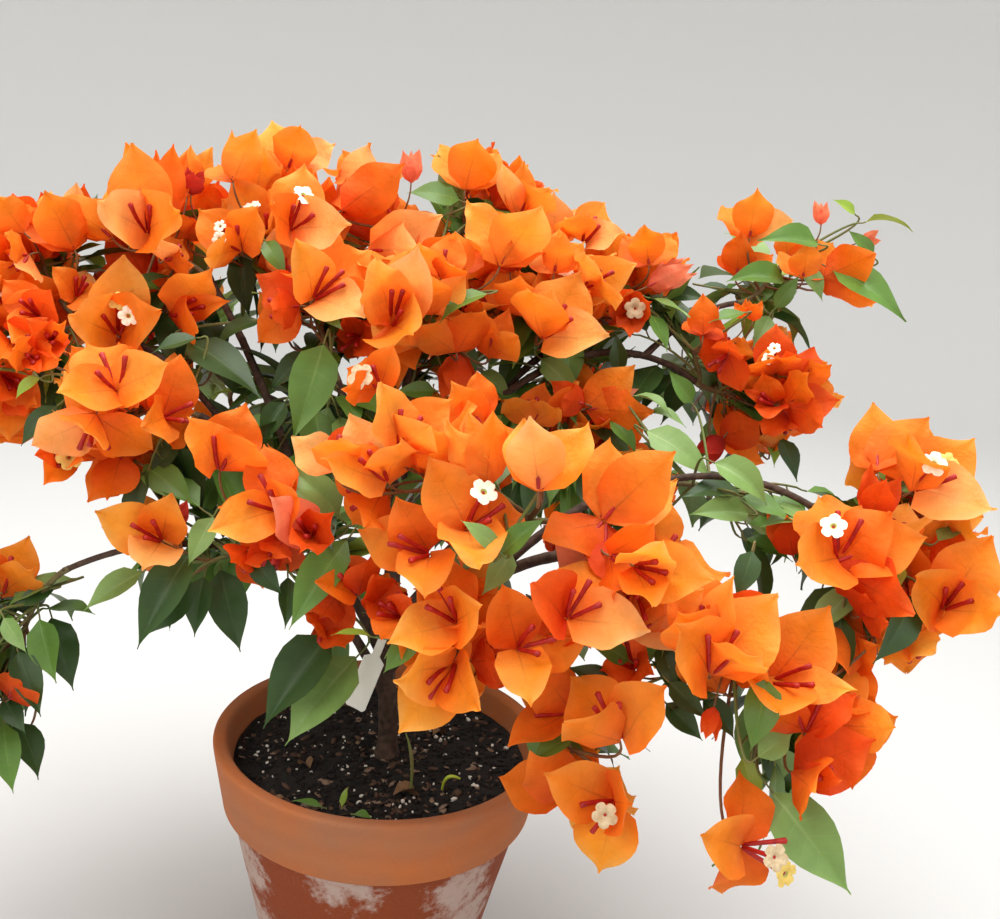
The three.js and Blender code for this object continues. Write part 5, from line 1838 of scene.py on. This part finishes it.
def sheet_pattern(tree, veins, vein_width):
    """How much of the midrib, of the side veins and of the margin shows at a place on a blade."""
    spot = add(tree, "UVMap", uv_map="blade")
    parts = add(tree, "SeparateXYZ", {"Vector": spot.outputs["UV"]})
    double = add(tree, "Math", {0: parts.outputs["X"], 1: 2.0, 2: -1.0}, operation="MULTIPLY_ADD")
    across = add(tree, "Math", {0: double.outputs[0]}, operation="ABSOLUTE").outputs[0]
    along = parts.outputs["Y"]
    rib = add(tree, "MapRange", {"Value": across, 1: vein_width, 2: 0.0, 3: 0.0, 4: 1.0})
    fade = add(tree, "MapRange", {"Value": along, 1: 0.1, 2: 0.75, 3: 1.0, 4: 0.1})
    rib = add(tree, "Math", {0: rib.outputs[0], 1: fade.outputs[0]}, operation="MULTIPLY")
    wave = add(tree, "Math", {0: along, 1: 0.5 / veins}, operation="PINGPONG")
    side = add(tree, "MapRange", {"Value": wave.outputs[0], 1: 0.011, 2: 0.0, 3: 0.0, 4: 1.0})
    outer = add(tree, "MapRange", {"Value": across, 1: 0.95, 2: 0.1, 3: 0.0, 4: 0.3})
    side = add(tree, "Math", {0: side.outputs[0], 1: outer.outputs[0]}, operation="MULTIPLY")
    vein = add(tree, "Math", {0: rib.outputs[0], 1: side.outputs[0]}, operation="MAXIMUM")
    rim = add(tree, "Math", {0: across, 1: along}, operation="MULTIPLY")
    rim = add(tree, "MapRange", {"Value": rim.outputs[0], 1: 0.25, 2: 0.95, 3: 0.0, 4: 1.0})
    foot = add(tree, "MapRange", {"Value": along, 1: 0.55, 2: 0.0, 3: 0.0, 4: 1.0})
    return vein.outputs[0], rim.outputs[0], foot.outputs[0]


def mixed(tree, factor, first, second):
    """Two colours, mixed by a factor."""
    inputs = {"Factor": factor, 6: first, 7: second}
    return add(tree, "Mix", inputs, data_type="RGBA").outputs[2]


def blotches(tree, scale, low, high, detail=3.0):
    """A soft uneven factor over the surface, from low to high. scale is in cycles per metre."""
    place = add(tree, "TexCoord").outputs["Object"]
    cloud = add(tree, "TexNoise", {"Vector": place, "Scale": scale, "Detail": detail})
    spread = {"Value": cloud.outputs["Fac"], 1: 0.3, 2: 0.7, 3: low, 4: high}
    return add(tree, "MapRange", spread).outputs[0]


def bumped(tree, height, distance, strength):
    inputs = {"Height": height, "Distance": distance * MM, "Strength": strength}
    return add(tree, "Bump", inputs).outputs["Normal"]


def thin_sheet(tree, colour, normal, skin, share):
    """The surface of a thin blade that lets a share of the light through."""
    front = add(tree, "BsdfPrincipled", {"Base Color": colour, "Normal": normal, **skin})
    through = add(tree, "BsdfTranslucent", {"Color": colour, "Normal": normal})
    both = add(tree, "MixShader", {"Fac": share, 1: front.outputs[0], 2: through.outputs[0]})
    finished(tree, both.outputs[0])


def papery_bract(name, face, rim_colour, foot_colour, vein_colour):
    """A bougainvillea bract, grown thin and dry as paper: matt, and lit through from behind.
    Its colour deepens to its foot, pales to its margin, and fine veins show darker in it."""
    material, tree = new_material(name)
    vein, rim, foot = sheet_pattern(tree, 6, 0.045)
    colour = mixed(tree, foot, colour_of(face), colour_of(foot_colour))
    rim = add(tree, "Math", {0: rim, 1: 0.55}, operation="MULTIPLY").outputs[0]
    colour = mixed(tree, rim, colour, colour_of(rim_colour))
    vein = add(tree, "Math", {0: vein, 1: 0.7}, operation="MULTIPLY").outputs[0]
    colour = mixed(tree, vein, colour, colour_of(vein_colour))
    pale = blotches(tree, 34.0, 0.0, 0.28)
    colour = mixed(tree, pale, colour, colour_of(rim_colour))
    value = blotches(tree, 70.0, 0.88, 1.1)
    colour = add(tree, "HueSaturation", {"Value": value, "Color": colour}).outputs["Color"]
    crinkle = blotches(tree, 260.0, 0.0, 1.0)
    normal = bumped(tree, crinkle, 0.6, 0.55)
    skin = {"Roughness": 0.6, "IOR": 1.42, "Specular IOR Level": 0.3}
    thin_sheet(tree, colour, normal, skin, 0.42)
    return material


def waxy_leaf(name, face, vein_colour, rim_colour):
    """A bougainvillea leaf: a smooth waxy skin with a soft gloss, and paler sunken veins."""
    material, tree = new_material(name)
    vein, rim, _ = sheet_pattern(tree, 7, 0.09)
    rim = add(tree, "Math", {0: rim, 1: 0.4}, operation="MULTIPLY").outputs[0]
    colour = mixed(tree, rim, colour_of(face), colour_of(rim_colour))
    tint = add(tree, "Math", {0: vein, 1: 0.5}, operation="MULTIPLY").outputs[0]
    colour = mixed(tree, tint, colour, colour_of(vein_colour))
    value = blotches(tree, 60.0, 0.85, 1.12)
    colour = add(tree, "HueSaturation", {"Value": value, "Color": colour}).outputs["Color"]
    relief = add(tree, "Math", {0: vein, 1: -1.0}, operation="MULTIPLY").outputs[0]
    normal = bumped(tree, relief, 0.25, 0.6)
    thin_sheet(tree, colour, normal, {"Roughness": 0.42, "IOR": 1.45}, 0.16)
    return material


def plain_skin(name, first, second, scale, roughness, bump=0.2, detail=4.0):
    """A living or once living skin in two close colours, dealt out in soft blotches, with a fine
    relief of the same grain."""
    material, tree = new_material(name)
    factor = blotches(tree, scale, 0.0, 1.0, detail)
    colour = mixed(tree, factor, colour_of(first), colour_of(second))
    normal = bumped(tree, factor, bump, 0.7)
    inputs = {"Base Color": colour, "Roughness": roughness, "IOR": 1.45, "Normal": normal}
    shader = add(tree, "BsdfPrincipled", inputs)
    finished(tree, shader.outputs[0])
    return material


def fired_terracotta():
    """Unglazed terracotta, thrown and fired: matt and fine grained, paler on the rim band, with
    soft turning rings, dusty smudges, and white lime that has crept out of the lower wall."""
    material, tree = new_material("fired_terracotta")
    place = add(tree, "TexCoord").outputs["Object"]
    parts = add(tree, "SeparateXYZ", {"Vector": place})
    height = parts.outputs["Z"]
    edge = {"Value": height, 1: 0.137, 2: 0.1395, 3: 0.0, 4: 1.0}
    band = add(tree, "MapRange", edge).outputs[0]
    smudge = blotches(tree, 24.0, 0.0, 0.6, 6.0)
    rim_band = mixed(tree, smudge, colour_of("b2622e"), colour_of("8c6850"))
    colour = mixed(tree, band, colour_of("80360f"), rim_band)
    rings_wave = add(
        tree,
        "TexWave",
        {"Vector": place, "Scale": 21.0, "Distortion": 5.0, "Detail": 3.0, "Detail Scale": 0.8},
        wave_type="BANDS",
        bands_direction="Z",
    ).outputs["Fac"]
    ring = add(tree, "Math", {0: rings_wave, 1: 0.08}, operation="MULTIPLY").outputs[0]
    colour = mixed(tree, ring, colour, colour_of("7c3f25"))
    lime = lime_mask(tree, place, parts)
    colour = mixed(tree, lime, colour, colour_of("b5a196"))
    grain = blotches(tree, 900.0, 0.0, 1.0, 6.0)
    relief = {0: rings_wave, 1: 0.08, 2: grain}
    relief = add(tree, "Math", relief, operation="MULTIPLY_ADD").outputs[0]
    relief = add(tree, "Math", {0: lime, 1: 0.9, 2: relief}, operation="MULTIPLY_ADD").outputs[0]
    normal = bumped(tree, relief, 0.22, 0.6)
    rough = add(tree, "MapRange", {"Value": grain, 3: 0.72, 4: 0.92}).outputs[0]
    inputs = {"Base Color": colour, "Roughness": rough, "IOR": 1.5, "Normal": normal}
    inputs["Specular IOR Level"] = 0.35
    shader = add(tree, "BsdfPrincipled", inputs)
    finished(tree, shader.outputs[0])
    return material


def lime_mask(tree, place, parts):
    """Where lime shows: broken, dusty patches round a few places of the lower wall."""
    broken = {"Vector": place, "Scale": 90.0, "Detail": 9.0, "Roughness": 0.74}
    total = add(tree, "TexNoise", broken).outputs["Fac"]
    closest = None
    for spot in LIME_SPOTS:
        apart = {0: place, 1: tuple(value * MM for value in spot)}
        apart = add(tree, "VectorMath", apart, operation="DISTANCE").outputs["Value"]
        if closest is not None:
            apart = add(tree, "Math", {0: closest, 1: apart}, operation="MINIMUM").outputs[0]
        closest = apart
    patch = {"Value": closest, 1: 0.01, 2: 0.036, 3: 0.19, 4: -0.14}
    patch = add(tree, "MapRange", patch).outputs[0]
    below = {"Value": parts.outputs["Z"], 1: 0.141, 2: 0.135, 3: -0.5, 4: 0.0}
    below = add(tree, "MapRange", below).outputs[0]
    for part in (patch, below):
        total = add(tree, "Math", {0: total, 1: part}, operation="ADD").outputs[0]
    return add(tree, "MapRange", {"Value": total, 1: 0.5, 2: 0.68, 3: 0.0, 4: 0.8}).outputs[0]


def moulded_plastic():
    """Thin moulded polypropylene gone a little dull outdoors: off-white with a faint green cast."""
    return plain_skin("moulded_plastic", "f6f8ee", "eceee0", 60.0, 0.45, 0.03)


# The deep orange and red-orange skins also serve as painted shade on bracts that lie in shade, and the
# apricot skin partly as a painted highlight.
def bract_materials():
    return [
        papery_bract("bract_bright_orange", "fc8a14", "ffb458", "f6640a", "b23806"),
        papery_bract("bract_amber", "ff9e20", "ffcc74", "fa780e", "ba4c0a"),
        papery_bract("bract_deep_orange", "f8720c", "ff9a3e", "ea4c08", "a42c06"),
        papery_bract("bract_red_orange", "ee520c", "f87a2e", "d43208", "8c220a"),
        papery_bract("bract_apricot", "ffac50", "ffd494", "fc8226", "c05a20"),
        papery_bract("bract_salmon", "f8845a", "ffb08a", "e8552e", "a83018"),
        papery_bract("bract_crimson_bud", "b8281c", "d84a34", "8e1410", "6a0e0c"),
    ]


def leaf_materials():
    return [
        waxy_leaf("leaf_mid_green", "5c8232", "8caa58", "749244"),
        waxy_leaf("leaf_dark_green", "344f22", "5c783e", "425e2c"),
        waxy_leaf("leaf_grey_green", "7a9a50", "aac27c", "8ca860"),
        waxy_leaf("leaf_young_green", "90ac3c", "bccc6c", "a2bc50"),
    ]


# Stage, light and camera.


def make_stage():
    """A pale round studio floor that curves up into a low wall, open above."""
    flat, bend, top = 2.0, 0.9, 2.4
    profile = [(0.001, 0.0), (1.0, 0.0), (flat, 0.0)]
    for i in range(1, 13):
        angle = i / 12 * math.pi / 2
        profile.append((flat + bend * math.sin(angle), bend * (1 - math.cos(angle))))
    profile.append((flat + bend, top))
    sides = 96
    points = []
    for radius, height in profile:
        for k in range(sides):
            angle = k * 2 * math.pi / sides
            points.append((radius * math.cos(angle), radius * math.sin(angle), height - 0.0004))
    mesh = bpy.data.meshes.new("studio_floor")
    mesh.from_pydata(points, [], grid_faces(len(profile), sides, closed=True).tolist())
    for face in mesh.polygons:
        face.use_smooth = True
    floor = new_object("studio_floor", mesh)
    material, tree = new_material("painted_studio_floor")
    inputs = {"Base Color": colour_of("cfcecb"), "Roughness": 0.8}
    shader = add(tree, "BsdfPrincipled", inputs)
    finished(tree, shader.outputs[0])
    mesh.materials.append(material)


# Each light's place and width in metres, its power in watts and its colour.
LIGHTS = {
    "sky_above": ((0.0, 0.1, 1.9), 1.8, 44, "ffffff"),
    "front_left": ((-1.2, -1.4, 1.3), 1.2, 12, "fffaf4"),
    "front_right": ((1.4, -1.2, 0.9), 1.2, 6, "f8faff"),
}
LIT_PLACE = (0, 0, 0.3)


def add_area_light(name, place, size, power, colour):
    data = bpy.data.lights.new(name, "AREA")
    data.shape = "DISK"
    data.size = size
    data.energy = power
    data.color = colour_of(colour)[:3]
    light = new_object(name, data)
    light.location = place
    light.rotation_euler = (Vector(LIT_PLACE) - Vector(place)).to_track_quat("-Z", "Y").to_euler()
    light.visible_camera = False


def make_lights():
    """The soft light of an overcast sky, brighter above and a little from the front left."""
    world = bpy.data.worlds.new("overcast_sky")
    world.use_nodes = True
    tree = world.node_tree
    tree.nodes.clear()
    sky = add(tree, "Background", {"Color": colour_of("f2f4f6"), "Strength": 1.0})
    add(tree, "OutputWorld", {"Surface": sky.outputs[0]})
    bpy.context.scene.world = world
    for name, light in LIGHTS.items():
        add_area_light(name, *light)


def make_camera():
    across, over, forward = (Vector(axis) for axis in camera_axes())
    data = bpy.data.cameras.new("photo_camera")
    data.sensor_fit = "HORIZONTAL"
    data.sensor_width = 36.0
    data.lens = 36.0 * CAMERA["focal_pixels"] / PICTURE["width"]
    data.clip_start = 0.01
    camera = new_object("photo_camera", data)
    turn = Matrix((across, over, -forward)).transposed().to_4x4()
    camera.matrix_world = Matrix.Translation(Vector(CAMERA_PLACE) * MM) @ turn
    bpy.context.scene.camera = camera
    bpy.context.scene.view_settings.view_transform = "Standard"
    bpy.context.scene.view_settings.look = "None"


def grow_plant():
    """The whole plant, in piles by kind. Each mass's colours keep close to one another."""
    plant = Plant()
    grow_limbs(plant)
    for name in plant.limbs:
        limb_mesh(plant, name)
    masses = masses_with_stems(plant)
    for mass in masses.values():
        random = seeded(mass["index"], 7)
        mass["tints"] = {k: v * random.uniform(0.5, 1.6) for k, v in BRACT_TINTS.items()}
        mass["leaf_tints"] = {k: v * random.uniform(0.5, 1.6) for k, v in LEAF_TINTS.items()}
    placed = fitted_flowers(masses)
    for name, rows in SEEN_FLOWERS.items():
        for i, row in enumerate(rows):
            random = seeded(masses[name]["index"], 3, i)
            grow_seen_flower(plant, masses[name], row, placed[name][i], random)
    for name, rows in SEEN_LEAVES.items():
        for i, row in enumerate(rows):
            grow_seen_leaf(plant, name, masses[name], row, seeded(masses[name]["index"], 5, i))
    flowers, leaves = plant.seen_flowers, plant.seen_leaves
    leaves.depths = np.minimum(leaves.depths, flowers.depths)
    flowers.close(HIDING["flower_gap"])
    leaves.close(HIDING["leaf_gap"])
    for name in masses:
        grow_mass(plant, name, masses)
    make_seedlings(plant)
    make_dry_leaves(plant, seeded(92))
    return plant


def build_plant(plant):
    """Joins each kind into its piece. Between them the pieces stand for all the plant's solids."""
    masses = ["mass_" + name for name in MASSES]
    limbs = ["trunk"] + ["bough_" + name for name in BOUGHS]
    # The rough bark's near-black brown is partly painted shade: it is darkened to the trunk's look in the
    # shade of the crown.
    bark = plain_skin("rough_bark", "32241c", "584436", 260.0, 0.85, 0.5, 8.0)
    stem_bark = plain_skin("young_bark", "5c4a30", "6f6a3e", 200.0, 0.7, 0.3)
    twig_skins = [
        plain_skin("flower_stalk_skin", "6e3a22", "7d6236", 150.0, 0.6),
        plain_skin("green_twig_skin", "5f7a38", "77693c", 120.0, 0.6),
        plain_skin("sprout_yellow_green", "b6c13c", "9fb233", 120.0, 0.5),
    ]
    tube_skin = plain_skin("flower_tube_skin", "96120e", "b82216", 300.0, 0.5)
    florets = [
        plain_skin("floret_cream", "fdf6e4", "f6eccb", 300.0, 0.6),
        plain_skin("floret_yellow", "f3d873", "e6bd5a", 300.0, 0.6),
        plain_skin("floret_throat", "9fae5a", "c2b04c", 300.0, 0.6),
        plain_skin("floret_faded", "dcc6a0", "bfa27a", 300.0, 0.7),
    ]
    dry = plain_skin("dry_leaf_skin", "8a6848", "5f4630", 160.0, 0.85, 0.4)
    plant.piles["bark"].build("bark", [bark], "bark", limbs)
    plant.piles["stems"].build("stems", [stem_bark], "leaves", masses)
    plant.piles["twigs"].build("twigs", twig_skins, "leaves", masses)
    plant.piles["leaves"].build("leaves", leaf_materials(), "leaves", masses)
    plant.piles["tubes"].build("flower_tubes", [tube_skin], "bracts", masses)
    plant.piles["florets"].build("florets", florets, "bracts", masses)
    plant.piles["dry"].build("dry_leaves", [dry], "potting_mix", [])
    split_bracts(plant.piles["bracts"], masses)


def split_bracts(pile, masses):
    """The bracts, joined into pieces of fewer than 200,000 triangles."""
    materials = bract_materials()
    most = 190000 // 2 // len(BRACT_FACES)
    for part, start in enumerate(range(0, len(pile.points), most)):
        piece = Pile()
        for i in range(start, min(start + most, len(pile.points))):
            piece.add(pile.points[i], BRACT_FACES, pile.spots[i], pile.finishes[i][0])
        piece.build("bracts_%d" % (part + 1), materials, "bracts", masses)


def main():
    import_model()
    make_camera()
    make_lights()
    make_stage()
    make_pot([fired_terracotta()])
    soil_materials = [
        plain_skin("potting_mix_crumbs", "0d0a08", "1f1813", 300.0, 0.95, 0.6),
        plain_skin("bark_chips", "3d2a1e", "5c4331", 200.0, 0.9, 0.4),
        plain_skin("perlite", "e8e4da", "c9c2b4", 400.0, 0.85, 0.3),
        plain_skin("dry_litter", "6e5644", "8c7561", 200.0, 0.9, 0.4),
    ]
    make_soil(soil_materials, lump_template())
    make_label([moulded_plastic()])
    build_plant(grow_plant())


main()
